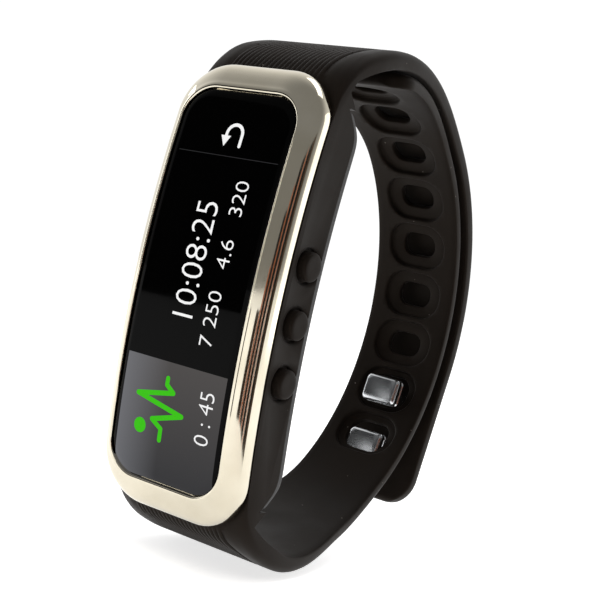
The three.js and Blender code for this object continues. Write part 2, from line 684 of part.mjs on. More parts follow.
// Half of the sleeve's side profile from the module's middle to a root hinge; end is +1 up or -1 down.
function sleeveHalf(end) {
  const points = [];
  const frontDepth = BEZEL_DEPTH + GAP;
  for (let i = 0; i <= 8; i++) {
    const z = (SLEEVE_LIP * i) / 8;
    points.push([layerY(frontDepth, z), end * z]);
  }
  // The end rises steeply from the bezel, then turns on to the strap's outer face.
  const hinge = end * ROOT_HINGE;
  const joined = end * ROOT_FROM;
  const [yj, zj] = rootSurface(joined, STRAP_THICKNESS);
  points.push([(points.at(-1)[0] + yj) / 2 - 0.2, (points.at(-1)[1] + zj) / 2 + end * 0.35]);
  for (let i = 0; i <= 2; i++) {
    points.push(rootSurface(joined + ((hinge - joined) * i) / 2, STRAP_THICKNESS));
  }
  const innerFrom = end * ROOT_INSIDE_FROM;
  for (let i = 0; i <= 4; i++) points.push(rootSurface(hinge + ((innerFrom - hinge) * i) / 4, 0));
  points.push([layerY(rearDepth(POCKET_Z), POCKET_Z), end * POCKET_Z]);
  const atFlange = FLANGE_HALF_LENGTH + GAP;
  points.push([layerY(rearDepth(atFlange), atFlange), end * atFlange]);
  const seam = FLANGE_THICKNESS + GAP;
  points.push([layerY(rearDepth(atFlange) - seam, atFlange), end * atFlange]);
  for (let i = 4; i >= 0; i--) {
    const z = (REAR_FLAT * i) / 4;
    points.push([layerY(rearDepth(z) - seam, z), end * z]);
  }
  return points;
}

function addSleeve() {
  const upper = sleeveHalf(1);
  const lower = sleeveHalf(-1);
  // Up the front to the upper hinge, back down the rear, then the lower half the other way round.
  const outline = [...upper, ...lower.slice(1, -1).reverse()];
  let sleeve = acrossWidth(outline, -MODULE_HALF_WIDTH, MODULE_HALF_WIDTH);
  const room = [MODULE_HALF_WIDTH - WALL, caseHalfLength + GAP, caseCorner + GAP];
  sleeve = sleeve.subtract(bowedPlate(...room, -4, MODULE_DEPTH + 12));
  for (const end of [1, -1]) {
    sleeve = sleeve.subtract(hingeRoom(rootPoint, end * ROOT_HINGE, STRAP_THICKNESS));
  }
  for (const z of buttonHeights) {
    const y = layerY(BUTTON_DEPTH, z);
    const wallInside = MODULE_HALF_WIDTH - WALL;
    sleeve = sleeve.subtract(discX(BUTTON_RADIUS + KEY_GAP, wallInside - 1, MODULE_HALF_WIDTH + 1, y, z));
    const flangeRoom = BUTTON_RADIUS + BUTTON_FLANGE + KEY_GAP;
    sleeve = sleeve.subtract(discX(flangeRoom, wallInside - 1, wallInside + counterbore, y, z));
  }
  add("band_sleeve", sleeve, "silicone");
}

// Slots run up the slotted strap from the one that the lower stud sits in.
const studAngles = [STUD_ANGLE, angleAlong(claspPoint, STUD_ANGLE, -STUD_PITCH)];
const firstSlot = angleAlong(slottedPoint, STUD_ANGLE, STUD_SEAT - SLOT_PITCH);
const slotAngles = [firstSlot];
while (slotAngles.length < SLOT_COUNT) {
  slotAngles.push(angleAlong(slottedPoint, slotAngles.at(-1), SLOT_PITCH));
}

function addStraps() {
  const hingeCut = (thing, point, angle) => thing.subtract(hingeRoom(point, angle, STRAP_THICKNESS));

  let upper = strap(claspPoint, ROOT_HINGE, TAIL_HINGE, 22);
  upper = hingeCut(upper.add(knuckle(claspPoint, ROOT_HINGE, STRAP_THICKNESS)), claspPoint, TAIL_HINGE);
  add("upper_strap", upper, "silicone");

  let tail = strap(claspPoint, TAIL_HINGE, TAIL_END, 20, STRAP_TIP_RADIUS);
  tail = tail.add(knuckle(claspPoint, TAIL_HINGE, STRAP_THICKNESS));
  for (const angle of studAngles) {
    const frame = strapFrame(claspPoint, angle, 0);
    const width = STUD_NECK_WIDTH + 2 * GAP;
    const height = STUD_NECK_HEIGHT + 2 * GAP;
    tail = tail.subtract(padOn(frame, width, height, 0.8, -STRAP_THICKNESS - 1, 1));
  }
  add("clasp_tail", tail, "silicone");

  let slotted = strap(slottedPoint, -ROOT_HINGE, SLOTTED_END, 44, STRAP_TIP_RADIUS);
  slotted = slotted.add(knuckle(slottedPoint, -ROOT_HINGE, STRAP_THICKNESS));
  slotAngles.forEach((angle, k) => {
    const frame = strapFrame(slottedPoint, angle, 0);
    const stretched = k < 2;
    const width = stretched ? RECESS_WIDTH - 1 : SLOT_WIDTH;
    const height = stretched ? RECESS_HEIGHT : SLOT_HEIGHT;
    slotted = slotted.subtract(padOn(frame, width, height, 1.5, -SLOTTED_THICKNESS - 1, 1));
    slotted = slotted.subtract(padOn(frame, RECESS_WIDTH, RECESS_HEIGHT, 3, -RECESS_DEPTH, 1));
  });
  add("slotted_strap", slotted, "silicone");
}

function addClasp() {
  const plateFrame = strapFrame(claspPoint, (studAngles[0] + studAngles[1]) / 2, 1);
  const plateHeight = STUD_PITCH + PLATE_BEYOND;
  add(
    "clasp_plate",
    padOn(plateFrame, PLATE_WIDTH, plateHeight, 2, -PLATE_THICKNESS - GAP, -GAP, 0.2),
    "steel",
  );
  const studLength = SLOTTED_THICKNESS + CLASP_LIFT_BACK + STUD_PROUD;
  studAngles.forEach((angle, i) => {
    const frame = strapFrame(claspPoint, angle, 0);
    const neck = padOn(frame, STUD_NECK_WIDTH, STUD_NECK_HEIGHT, 0.8, -STRAP_THICKNESS + 0.1, studLength - 1);
    const head = padOn(
      frame,
      STUD_HEAD_WIDTH,
      STUD_HEAD_HEIGHT,
      0.6,
      studLength - STUD_HEAD_THICKNESS,
      studLength,
      STUD_BEVEL,
    );
    add(`clasp_stud_${i ? "lower" : "upper"}`, neck.add(head), "steel");
  });
}

addFront();
addRearCase();
addChassisAndBoard();
addElectronics();
addButtons();
addSleeve();
addStraps();
addClasp();

export default group;
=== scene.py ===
# %% [markdown]
# # A fitness tracker band, piece by piece
# A bowed display module sits in a soft silicone band. The band closes at the back of the wrist with two
# polished studs that are pressed through slots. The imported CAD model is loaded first: it is the frame
# that every finished piece is laid over, so nothing here is fitted by eye.

import math

import bmesh
import bpy
import numpy as np
from mathutils import Matrix, Vector


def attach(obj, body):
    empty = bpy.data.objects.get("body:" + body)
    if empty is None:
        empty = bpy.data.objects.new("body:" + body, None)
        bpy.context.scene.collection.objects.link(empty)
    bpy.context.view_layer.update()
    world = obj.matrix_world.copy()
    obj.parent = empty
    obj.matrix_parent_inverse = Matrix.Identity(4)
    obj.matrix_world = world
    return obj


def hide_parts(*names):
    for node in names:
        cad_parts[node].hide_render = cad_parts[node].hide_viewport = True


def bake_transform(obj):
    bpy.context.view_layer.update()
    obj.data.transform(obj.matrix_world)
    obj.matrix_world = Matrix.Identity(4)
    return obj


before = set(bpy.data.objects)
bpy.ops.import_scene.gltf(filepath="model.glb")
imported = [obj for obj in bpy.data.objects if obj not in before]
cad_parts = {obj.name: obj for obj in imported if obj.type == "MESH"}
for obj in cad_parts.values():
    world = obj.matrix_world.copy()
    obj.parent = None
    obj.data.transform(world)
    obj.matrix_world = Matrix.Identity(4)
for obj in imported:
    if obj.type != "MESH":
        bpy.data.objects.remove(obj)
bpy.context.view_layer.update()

# %% [markdown]
# ## The shapes everything follows
# The module is one slab bent to a large radius along its length, so any point on it is a depth behind the
# middle of the display plus the bow at its height. The straps follow ellipses round the wrist. Writing the
# two rules down once, in millimetres, lets every piece meet its neighbours without measuring again.

# %% Sizes in millimetres, and the two rules
MM = 0.001
FRONT_Y = -32.0
BOW_RADIUS = 150.0
MODULE = (11.0, 28.4, 6.5)  # half width, half length, corner radius
LENS = (8.8, 24.6, 4.1)
MODULE_DEPTH = 11.1
REAR_FLAT = 22.4
REAR_SLOPE = 1.19
REAR_BEND = 0.7
LOOP_CENTRE = (-7.0, 0.5)
WRIST_LOOP = (27.6, 30.5)  # inner face of the slotted strap
CLASP_LOOP = (31.2, 32.75)  # inner face of the outer strap
STRAP_THICKNESS = 2.4
SLOTTED_THICKNESS = 1.95
TAIL_STRAIGHT_FROM = math.radians(-11)
STRAP_END_HALF_WIDTH = 7.0
EASE_FROM, EASE_TO = math.radians(-106), math.radians(-74)  # the inner strap eases inwards here
TAPER_FROM, TAPER_TO = math.radians(50), math.radians(112)
ROOT_ANGLE = math.radians(113)  # where the straps are laid on to the sleeve


def bow(z):
    return BOW_RADIUS - np.sqrt(BOW_RADIUS**2 - np.asarray(z, float) ** 2)


def layer_y(depth, z):
    return FRONT_Y + depth + bow(z)


def rear_depth(z):
    """The rear face is flat, then slopes away; the bend between the two is soft."""
    past = (np.abs(z) - REAR_FLAT) / REAR_BEND
    return MODULE_DEPTH - REAR_SLOPE * REAR_BEND * np.logaddexp(0.0, past)


def loop_point(loop, angle, out):
    y = LOOP_CENTRE[0] + (loop[0] + out) * np.cos(angle)
    z = LOOP_CENTRE[1] + (loop[1] + out) * np.sin(angle)
    return y, z


def clasp_point(angle, out):
    """The outer strap: an ellipse that runs straight on past the angle where the clasp begins."""
    held = np.maximum(angle, TAIL_STRAIGHT_FROM)
    y, z = loop_point(CLASP_LOOP, held, out)
    along_y = (CLASP_LOOP[0] + out) * np.sin(held)
    along_z = -(CLASP_LOOP[1] + out) * np.cos(held)
    length = np.hypot(along_y, along_z)
    run = (held - angle) * CLASP_LOOP[1]
    return y + run * along_y / length, z + run * along_z / length


def smoothstep(x, low, high):
    t = np.clip((np.asarray(x, float) - low) / (high - low), 0, 1)
    return t * t * (3 - 2 * t)


def slotted_point(angle, share):
    """The inner strap: it leaves the module on the outer ellipse and eases on to the wrist's."""
    ease = smoothstep(angle, EASE_FROM, EASE_TO)
    y0, z0 = loop_point(CLASP_LOOP, angle, share * STRAP_THICKNESS)
    y1, z1 = loop_point(WRIST_LOOP, angle, share * SLOTTED_THICKNESS)
    return y0 + (y1 - y0) * ease, z0 + (z1 - z0) * ease


def strap_half_width(angle):
    taper = 1 - smoothstep(np.abs(angle), TAPER_FROM, TAPER_TO)
    return MODULE[0] - (MODULE[0] - STRAP_END_HALF_WIDTH) * taper


print("bow at the module's ends:", round(float(bow(MODULE[1])), 2), "mm")

# %% [markdown]
# ## Making finishes
# Every finish is a small tree of nodes: patterns in object space, scaled in millimetres, that vary the
# colour, the roughness and the height of the surface. One function adds a node and joins what feeds it,
# so a finish reads as a short list.


# %% Helpers for node trees
def plug(tree, socket, value):
    """Feeds a socket from another socket, or sets it to a plain value."""
    if isinstance(value, bpy.types.NodeSocket):
        tree.links.new(value, socket)
    else:
        socket.default_value = value


def node(tree, kind, out=None, settings=None, **inputs):
    """Adds a node. Inputs are named with _ for spaces, or by place as i0, i1."""
    made = tree.nodes.new(kind)
    for name, value in (settings or {}).items():
        setattr(made, name, value)
    for name, value in inputs.items():
        by_place = name[0] == "i" and name[1:].isdigit()
        plug(tree, made.inputs[int(name[1:]) if by_place else name.replace("_", " ")], value)
    return made.outputs[out] if out is not None else made


def to_linear(hex_colour):
    """A screen colour such as 'D8D0C0' as the linear colour that a shader wants."""
    parts = [int(hex_colour[i : i + 2], 16) / 255 for i in (0, 2, 4)]
    return tuple(c / 12.92 if c <= 0.04045 else ((c + 0.055) / 1.055) ** 2.4 for c in parts) + (1.0,)


def new_finish(name):
    material = bpy.data.materials.new(name)
    material.use_nodes = True
    tree = material.node_tree
    tree.nodes.clear()
    output = node(tree, "ShaderNodeOutputMaterial")
    shader = node(tree, "ShaderNodeBsdfPrincipled")
    tree.links.new(shader.outputs["BSDF"], output.inputs["Surface"])
    place = node(tree, "ShaderNodeTexCoord", "Object")
    millimetres = node(tree, "ShaderNodeMapping", "Vector", Vector=place, Scale=(1 / MM,) * 3)
    return material, tree, shader, millimetres


def noise(tree, where, per_mm, detail=3.0, stretch=(1, 1, 1)):
    """Soft noise with that many features to the millimetre, drawn out along an axis by stretch."""
    drawn = node(tree, "ShaderNodeMapping", "Vector", Vector=where, Scale=stretch)
    return node(tree, "ShaderNodeTexNoise", "Fac", Vector=drawn, Scale=per_mm, Detail=detail)


def spread(tree, fac, low, high, start=0.3, end=0.7):
    """Carries the stretch from start to end over to the one from low to high."""
    return node(tree, "ShaderNodeMapRange", "Result", i0=fac, i1=start, i2=end, i3=low, i4=high)


def mixed(tree, fac, a, b):
    """A colour between a and b."""
    made = node(tree, "ShaderNodeMix", settings={"data_type": "RGBA"})
    for place, value in ((0, fac), (6, a), (7, b)):  # the sockets of the colour version
        plug(tree, made.inputs[place], value)
    return made.outputs[2]


def maths(tree, operation, a, b=0.0):
    return node(tree, "ShaderNodeMath", 0, {"operation": operation}, i0=a, i1=b)


def bump(tree, shader, height, depth_mm, strength=1.0, under=None):
    feeds = {"Height": height, "Strength": strength, "Distance": depth_mm * MM}
    if under is not None:
        feeds["Normal"] = under
    normal = node(tree, "ShaderNodeBump", "Normal", **feeds)
    tree.links.new(normal, shader.inputs["Normal"])
    return normal


def feed(tree, shader, **values):
    for name, value in values.items():
        plug(tree, shader.inputs[name.replace("_", " ")], value)


# %% [markdown]
# ## Silicone
# Moulded silicone is nearly black and slightly warm, with a soft broad sheen. Up close it has the fine
# satin of the mould, faint cloudy patches where it was handled, and the odd speck of dust that clings
# to it. Noise at three sizes gives the satin and the patches; scattered cells give the dust.


# %% Silicone finish
def silicone_finish():
    material, tree, shader, mm = new_finish("moulded_black_silicone")
    clouds = noise(tree, mm, 0.12, 4.0)
    satin = noise(tree, mm, 5.0, 2.0)
    base = mixed(tree, spread(tree, clouds, 0.0, 1.0), to_linear("16120F"), to_linear("1D1814"))
    dust = node(tree, "ShaderNodeTexVoronoi", Vector=mm, Scale=0.55)
    near = maths(tree, "LESS_THAN", dust.outputs["Distance"], 0.055)
    chosen = node(tree, "ShaderNodeSeparateColor", "Red", Color=dust.outputs["Color"])
    speck = maths(tree, "MULTIPLY", near, maths(tree, "GREATER_THAN", chosen, 0.72))
    feed(
        tree,
        shader,
        Base_Color=mixed(tree, maths(tree, "MULTIPLY", speck, 0.5), base, to_linear("8E8780")),
        Roughness=spread(tree, clouds, 0.44, 0.58),
        IOR=1.41,
        Specular_IOR_Level=0.1,
        Specular_Tint=(1.0, 0.86, 0.74, 1.0),
        Sheen_Weight=0.04,
        Sheen_Roughness=0.4,
    )
    grain = bump(tree, shader, satin, 0.012, 0.5)
    bump(tree, shader, noise(tree, mm, 0.4, 3.0), 0.05, 0.3, grain)
    return material


silicone = silicone_finish()
print("finish:", silicone.name)

# %% [markdown]
# ## Polished champagne metal
# The bezel is plated and buffed to a mirror with a warm champagne tint. What makes it read as real metal is
# what breaks the mirror: a faint waviness from buffing, hairline scratches along its length and slight
# changes in gloss. The studs are a cooler, brushed steel.


# %% Metal finishes
def metal_finish(name, light, dark, gloss, rough, scratch_mm, waviness=0.02):
    material, tree, shader, mm = new_finish(name)
    patches = noise(tree, mm, 0.18, 3.0)
    hairs = noise(tree, mm, 6.0, 2.0, (1, 1, 0.06))
    feed(
        tree,
        shader,
        Base_Color=mixed(tree, spread(tree, patches, 0.0, 1.0), to_linear(light), to_linear(dark)),
        Metallic=1.0,
        Roughness=maths(
            tree,
            "ADD",
            spread(tree, patches, gloss, rough),
            spread(tree, hairs, 0.0, 0.05, 0.62, 0.8),
        ),
    )
    fine = bump(tree, shader, hairs, scratch_mm, 0.25)
    bump(tree, shader, noise(tree, mm, 0.3, 1.0), waviness, 0.3, fine)
    return material


champagne = metal_finish("polished_champagne_plating", "DAD3C1", "CEC6B2", 0.05, 0.1, 0.0015)
stud_steel = metal_finish("brushed_stud_steel", "DADCDE", "C6C9CC", 0.16, 0.26, 0.004, 0.01)
gold = metal_finish("gold_contact_plating", "E2BC62", "CFA448", 0.2, 0.3, 0.004, 0.01)
print("finishes:", champagne.name, stud_steel.name, gold.name)

# %% [markdown]
# ## Black cover glass with the display alight behind it
# The glass is printed black on its back, so it looks like one dark mirror until the display lights up. The
# lower part of the screen is a soft grey panel with a hard upper edge, lighter at its left. It is painted
# in the glass finish from the height along the module, so that it shares the gloss of the glass.

# %% Cover glass finish
PANEL_TOP_Z = -9.6
PANEL_FADE_Z = -24.0
PANEL_HALF_WIDTH = 8.0


def glass_finish():
    material, tree, shader, mm = new_finish("printed_cover_glass")
    place = node(tree, "ShaderNodeSeparateXYZ", Vector=mm)
    x, z = place.outputs["X"], place.outputs["Z"]
    inside = maths(
        tree,
        "MULTIPLY",
        maths(tree, "LESS_THAN", z, PANEL_TOP_Z),
        maths(tree, "LESS_THAN", maths(tree, "ABSOLUTE", x), PANEL_HALF_WIDTH),
    )
    down = spread(tree, z, 0.0, 1.0, PANEL_TOP_Z, PANEL_FADE_Z)
    left = spread(tree, x, 0.0, 1.0, -1.0, -8.5)
    grey = mixed(tree, down, to_linear("504D4C"), to_linear("363638"))
    hint = maths(tree, "MULTIPLY", left, 0.8)
    panel = mixed(tree, hint, grey, to_linear("7A7B80"))
    smears = noise(tree, mm, 0.1, 5.0, (1, 1, 0.5))
    glow = mixed(tree, inside, (0, 0, 0, 1), panel)
    feed(
        tree,
        shader,
        Base_Color=mixed(tree, inside, to_linear("020202"), to_linear("060607")),
        Roughness=spread(tree, smears, 0.03, 0.075),
        IOR=1.5,
        Specular_IOR_Level=0.05,
        Emission_Color=glow,
        Emission_Strength=0.9,
    )
    bump(tree, shader, noise(tree, mm, 0.15, 1.0), 0.004, 0.2)
    return material


def lit_finish(name, colour, strength):
    """Lit parts of the picture: even, but with the faint grain of the pixels."""
    material, tree, shader, mm = new_finish(name)
    grain = node(tree, "ShaderNodeTexVoronoi", "Distance", Vector=mm, Scale=9.0)
    lit = mixed(tree, spread(tree, grain, 0.0, 0.16, 0.1, 0.9), to_linear(colour), (0, 0, 0, 1))
    feed(
        tree,
        shader,
        Base_Color=to_linear("101010"),
        Roughness=spread(tree, grain, 0.1, 0.16),
        Specular_IOR_Level=0.05,
        Emission_Color=lit,
        Emission_Strength=strength,
    )
    return material


cover_glass = glass_finish()
lit_white = lit_finish("lit_white_digits", "FFFFFF", 1.0)
lit_green = lit_finish("lit_green_symbol", "38C800", 1.0)
lit_line = lit_finish("lit_grey_divider", "3A3A3C", 0.5)
print("finishes:", cover_glass.name, lit_white.name, lit_green.name)

# %% [markdown]
# ## Plastics, boards and foil
# The rear case is spark-eroded black plastic: matt, with an even pebbled grain. The pieces inside are never
# seen on a closed tracker, but each gets a finish of its own, so that the model can be taken apart.


# %% Plastic and inner finishes
def plain_finish(name, light, dark, rough, grain_mm, metallic=0.0, per_mm=4.0):
    material, tree, shader, mm = new_finish(name)
    grain = noise(tree, mm, per_mm, 2.0)
    tone = noise(tree, mm, 0.2, 4.0)
    feed(
        tree,
        shader,
        Base_Color=mixed(tree, spread(tree, tone, 0.0, 1.0), to_linear(light), to_linear(dark)),
        Roughness=spread(tree, grain, rough - 0.07, rough + 0.07),
        Metallic=metallic,
    )
    bump(tree, shader, grain, grain_mm, 0.5)
    return material


case_plastic = plain_finish("spark_eroded_black_plastic", "1B1B1C", "242425", 0.5, 0.02)
chip_resin = plain_finish("chip_resin", "17171A", "202024", 0.6, 0.01, per_mm=8.0)
board_green = plain_finish("board_solder_mask", "0C4226", "15583A", 0.4, 0.008)
cell_foil = plain_finish("pouch_cell_foil", "B4B8BC", "9CA0A6", 0.36, 0.03, 0.9, 1.2)
flex_film = plain_finish("copper_flex_film", "A9621C", "8C4D14", 0.45, 0.01)
gasket_foam = plain_finish("black_gasket_foam", "101010", "1A1A1A", 0.8, 0.03)
screen_glass = plain_finish("display_panel_glass", "08080A", "101014", 0.15, 0.002)

NODE_FINISH = {
    "lens_gasket": gasket_foam,
    "display_panel": screen_glass,
    "display_flex": flex_film,
    "inner_chassis": case_plastic,
    "main_board": board_green,
    "processor_chip": chip_resin,
    "radio_chip": chip_resin,
    "motion_sensor": chip_resin,
    "battery": cell_foil,
    "vibration_motor": stud_steel,
    "side_board": board_green,
    "tact_switch_upper": stud_steel,
    "tact_switch_middle": stud_steel,
    "tact_switch_lower": stud_steel,
    "case_seal": gasket_foam,
}
for name, finish in NODE_FINISH.items():
    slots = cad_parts[name].data.materials
    for i in range(len(slots)):
        slots[i] = finish
print("inner nodes given a finish:", len(NODE_FINISH))

# %% [markdown]
# ## Laying surfaces
# Most pieces here are a loop of points carried along: the outline of the bezel carried through its profile,
# or the section of a strap carried round the wrist. One function lays such loops into a closed mesh, and
# another marks the edges that should stay crisp.


# %% Mesh helpers
def finish_mesh(obj, sharp_degrees=38):
    work = bmesh.new()
    work.from_mesh(obj.data)
    bmesh.ops.remove_doubles(work, verts=work.verts, dist=1e-6)
    bmesh.ops.dissolve_degenerate(work, dist=1e-7, edges=work.edges)
    bmesh.ops.recalc_face_normals(work, faces=work.faces)
    work.to_mesh(obj.data)
    work.free()
    obj.data.shade_smooth()
    obj.data.set_sharp_from_angle(angle=math.radians(sharp_degrees))
    return obj


def linked(name, data):
    obj = bpy.data.objects.new(name, data)
    bpy.context.scene.collection.objects.link(obj)
    return obj


def new_object(name, points_mm, faces, material):
    mesh = bpy.data.meshes.new(name)
    mesh.from_pydata((np.asarray(points_mm) * MM).tolist(), [], faces)
    mesh.materials.append(material)
    return linked(name, mesh)


def lay_loops(name, loops, material, endless=False, capped=True):
    """Joins closed loops of the same number of points one after another."""
    loops = [np.asarray(loop, float) for loop in loops]
    count = len(loops[0])
    faces = []
    pairs = len(loops) if endless else len(loops) - 1
    for k in range(pairs):
        a, b = k * count, ((k + 1) % len(loops)) * count
        for i in range(count):
            j = (i + 1) % count
            faces.append((a + i, a + j, b + j, b + i))
    if not endless and capped:
        faces.append(tuple(range(count))[::-1])
        last = (len(loops) - 1) * count
        faces.append(tuple(range(last, last + count)))
    return new_object(name, np.concatenate(loops), faces, material)


def outline(half_width, half_length, corner, corner_steps=14, side_steps=44, end_steps=14):
    """A rounded rectangle as (x, z) points, always the same number of them, counter-clockwise."""
    quarter = []
    for i in range(corner_steps + 1):
        turn = i / corner_steps * math.pi / 2
        x = half_width - corner + corner * math.cos(turn)
        quarter.append((x, half_length - corner + corner * math.sin(turn)))
    end = [
        ((half_width - corner) * (1 - 2 * i / end_steps), half_length) for i in range(1, end_steps)
    ]
    side = [
        (-half_width, (half_length - corner) * (1 - 2 * i / side_steps)) for i in range(1, side_steps)
    ]
    half = quarter + end + [(-x, z) for x, z in reversed(quarter)] + side
    return np.array(half + [(-x, -z) for x, z in half])


def bowed_loop(half_width, half_length, corner, depth):
    flat = outline(half_width, half_length, max(corner, 0.0))
    return np.column_stack([flat[:, 0], layer_y(depth, flat[:, 1]), flat[:, 1]])


def rounded(path, rounds=2, endless=False):
    """Cuts the corners of a path of rows, so that an angular profile becomes a soft one."""
    path = np.asarray(path, float)
    for _ in range(rounds):
        after = np.roll(path, -1, axis=0) if endless else path[1:]
        before = path if endless else path[:-1]
        cut = np.stack([0.75 * before + 0.25 * after, 0.25 * before + 0.75 * after], 1)
        cut = cut.reshape(-1, path.shape[1])
        path = cut if endless else np.vstack([path[:1], cut, path[-1:]])
    return path


def turned(name, profile, axis, centre, material, steps=48):
    """A profile of (distance along the axis, radius) turned round an axis, 'X' or 'Y', in mm."""
    loops = []
    for along, radius in profile:
        turn = np.arange(steps) / steps * 2 * math.pi
        u, v = radius * np.cos(turn), radius * np.sin(turn)
        w = np.full(steps, along)
        columns = (w, u, v) if axis == "X" else (u, w, v)
        loops.append(np.column_stack(columns) + np.asarray(centre))
    return lay_loops(name, loops, material)


def cut_away(obj, cutters):
    """Takes the cutters out of a piece for good, and clears them away."""
    for cutter in cutters:
        change = obj.modifiers.new("cut", "BOOLEAN")
        change.operation = "DIFFERENCE"
        change.solver = "EXACT"
        change.object = cutter
    bake(obj)
    for cutter in cutters:
        bpy.data.objects.remove(cutter)
    return obj


def bake(obj):
    """Turns whatever the modifiers make into the piece's own mesh."""
    bpy.context.view_layer.update()
    evaluated = obj.evaluated_get(bpy.context.evaluated_depsgraph_get())
    mesh = bpy.data.meshes.new_from_object(evaluated)
    obj.modifiers.clear()
    obj.data = mesh
    return obj


def settle(obj, body, slot, *replaced):
    """The piece is done: it rides on its body and stands for its CAD nodes."""
    if body:
        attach(obj, body)
    if replaced:
        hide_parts(*replaced)
    print(f"{obj.name}: {len(obj.data.polygons)} faces")


# %% [markdown]
# ## Bezel
# The bezel is a closed ring: a thin bright rim stands round the glass, then a broad face falls away to the
# side and turns under. It is laid as the rounded outline of the module carried through that profile. The
# profile is given as a share of the way from the glass to the outer edge, because the ring is wider at
# its ends than at its sides.


# %% Bezel
def bezel_loop(share, depth):
    sizes = [lens + (full - lens) * share for lens, full in zip(LENS, MODULE)]
    return bowed_loop(*sizes, depth)


BEZEL_FACE = [
    (0.02, 1.45),
    (0.02, 0.1),
    (0.05, -0.1),
    (0.12, -0.16),
    (0.2, -0.08),
    (0.27, 0.04),
    (0.45, 0.26),
    (0.62, 0.52),
    (0.78, 0.88),
    (0.9, 1.35),
    (0.97, 1.85),
    (1.0, 2.4),
    (1.0, 3.2),
    (0.985, 3.42),
    (0.94, 3.5),
]
BEZEL_BACK = [(0.1, 3.5), (-0.18, 3.45), (-0.2, 1.65), (-0.16, 1.6), (0.0, 1.6)]
profile = np.vstack([rounded(BEZEL_FACE, 2), BEZEL_BACK])
bezel = lay_loops("bezel_ring", [bezel_loop(t, d) for t, d in profile], champagne, endless=True)
finish_mesh(bezel, 50)
settle(bezel, "tracker", "polished_metal", "bezel_frame")

# %% [markdown]
# ## Cover glass
# The glass fills the rim and is bowed like the rest. Its edge is ground to a narrow slope, which catches a
# different part of the room than the face does and draws a thin line round the screen.

# %% Cover glass
LENS_FIT = 0.1
edge = [size - LENS_FIT for size in LENS]


def lens_loop(inset, depth):
    sizes = [size - inset for size in edge]
    sizes[2] = max(sizes[2], 0.0)
    return bowed_loop(*sizes, depth)


middle = edge[0]
lens_loops = [lens_loop(middle, 1.1), lens_loop(middle / 2, 1.1), lens_loop(0, 1.1)]
slope = rounded([(0, 1.0), (0, 0.24), (0.1, 0.12), (0.6, 0.015), (0.8, 0.0), (1.6, 0.0)], 2)
lens_loops += [lens_loop(inset, depth) for inset, depth in slope]
lens_loops += [lens_loop(inset, 0) for inset in (3.0, 4.6, 6.2, 7.6, middle)]
lens = lay_loops("cover_glass", lens_loops, cover_glass, capped=False)
finish_mesh(lens, 50)
settle(lens, "tracker", "cover_glass", "cover_lens")

# %% [markdown]
# ## What the display shows
# The screen is read with the wrist turned: large digits and a smaller row run up the module, a back arrow
# and a divider sit above them, and a pulse line and a short figure stand in the grey panel. The digits
# are type turned to a mesh, then bent to the glass; the symbols are drawn as strokes of even width.

# %% Display symbols
GLASS_SKIN = 0.02  # how far the lit shapes stand off the glass


def bend_to_glass(obj, thickness=0.03):
    """Takes a flat mesh of (x, z) in mm in its X and Y and lays it over the glass as a thin skin."""
    work = bmesh.new()
    work.from_mesh(obj.data)
    bmesh.ops.triangulate(work, faces=work.faces)
    bmesh.ops.subdivide_edges(work, edges=[e for e in work.edges if e.calc_length() > 1.6], cuts=2)
    bmesh.ops.triangulate(work, faces=work.faces)
    flat = {v: v.co.copy() for v in work.verts}
    made = bmesh.ops.extrude_face_region(work, geom=list(work.faces))
    lifted = {v for v in made["geom"] if isinstance(v, bmesh.types.BMVert)}
    for v in work.verts:
        x, z = (flat.get(v) or v.co)[:2]
        depth = -GLASS_SKIN if v in lifted else thickness - GLASS_SKIN
        v.co = Vector((x, float(layer_y(depth, z)), z)) * MM
    bmesh.ops.recalc_face_normals(work, faces=work.faces)
    work.to_mesh(obj.data)
    work.free()
    return obj


def digits(name, text, height, baseline_x, low_z, length, material):
    """Digits that read up the module: their tops point to -X, and they are fitted to a length."""
    curve = bpy.data.curves.new(name, "FONT")
    curve.body = text
    curve.resolution_u = 3
    curve.offset = -0.012
    word = linked(name, curve)
    bpy.context.view_layer.update()
    mesh = bpy.data.meshes.new_from_object(word.evaluated_get(bpy.context.evaluated_depsgraph_get()))
    bpy.data.objects.remove(word)
    co = np.array([v.co for v in mesh.vertices])
    low, high = co.min(0), co.max(0)
    for v in mesh.vertices:
        run = (v.co.x - low[0]) / (high[0] - low[0])
        rise = (v.co.y - low[1]) / (high[1] - low[1])
        v.co = (baseline_x - rise * height, low_z + run * length, 0)
    mesh.materials.clear()
    mesh.materials.append(material)
    settle(bend_to_glass(linked(name, mesh)), "tracker", "cover_glass")


def stroke(path, width, turns=8):
    """Points and faces of an even stroke along a path, with round joints and ends."""
    points, faces = [], []
    for (x0, z0), (x1, z1) in zip(path, path[1:]):
        heading = math.atan2(z1 - z0, x1 - x0)
        start = len(points)
        for side, (x, z) in ((1, (x1, z1)), (-1, (x0, z0))):
            for i in range(turns + 1):
                turn = heading - side * math.pi / 2 + i / turns * math.pi
                points.append((x + width / 2 * math.cos(turn), z + width / 2 * math.sin(turn), 0))
        faces.append(tuple(range(start, len(points))))
    return points, faces


def symbol(name, strokes, width, material, shapes=()):
    """Strokes and filled shapes, laid together over the glass as one thin skin."""
    points, faces = [], []
    for path in strokes:
        more, loops = stroke(path, width)
        faces += [tuple(len(points) + i for i in loop) for loop in loops]
        points += more
    for shape in shapes:
        faces.append(tuple(range(len(points), len(points) + len(shape))))
        points += [(x, z, 0) for x, z in shape]
    mesh = bpy.data.meshes.new(name)
    mesh.from_pydata(points, [], faces)
    mesh.materials.append(material)
    settle(bend_to_glass(linked(name, mesh)), "tracker", "cover_glass")


def arc(cx, cz, radius, start, end, steps=12):
    turns = [math.radians(start + (end - start) * i / steps) for i in range(steps + 1)]
    return [(cx + radius * math.cos(t), cz + radius * math.sin(t)) for t in turns]


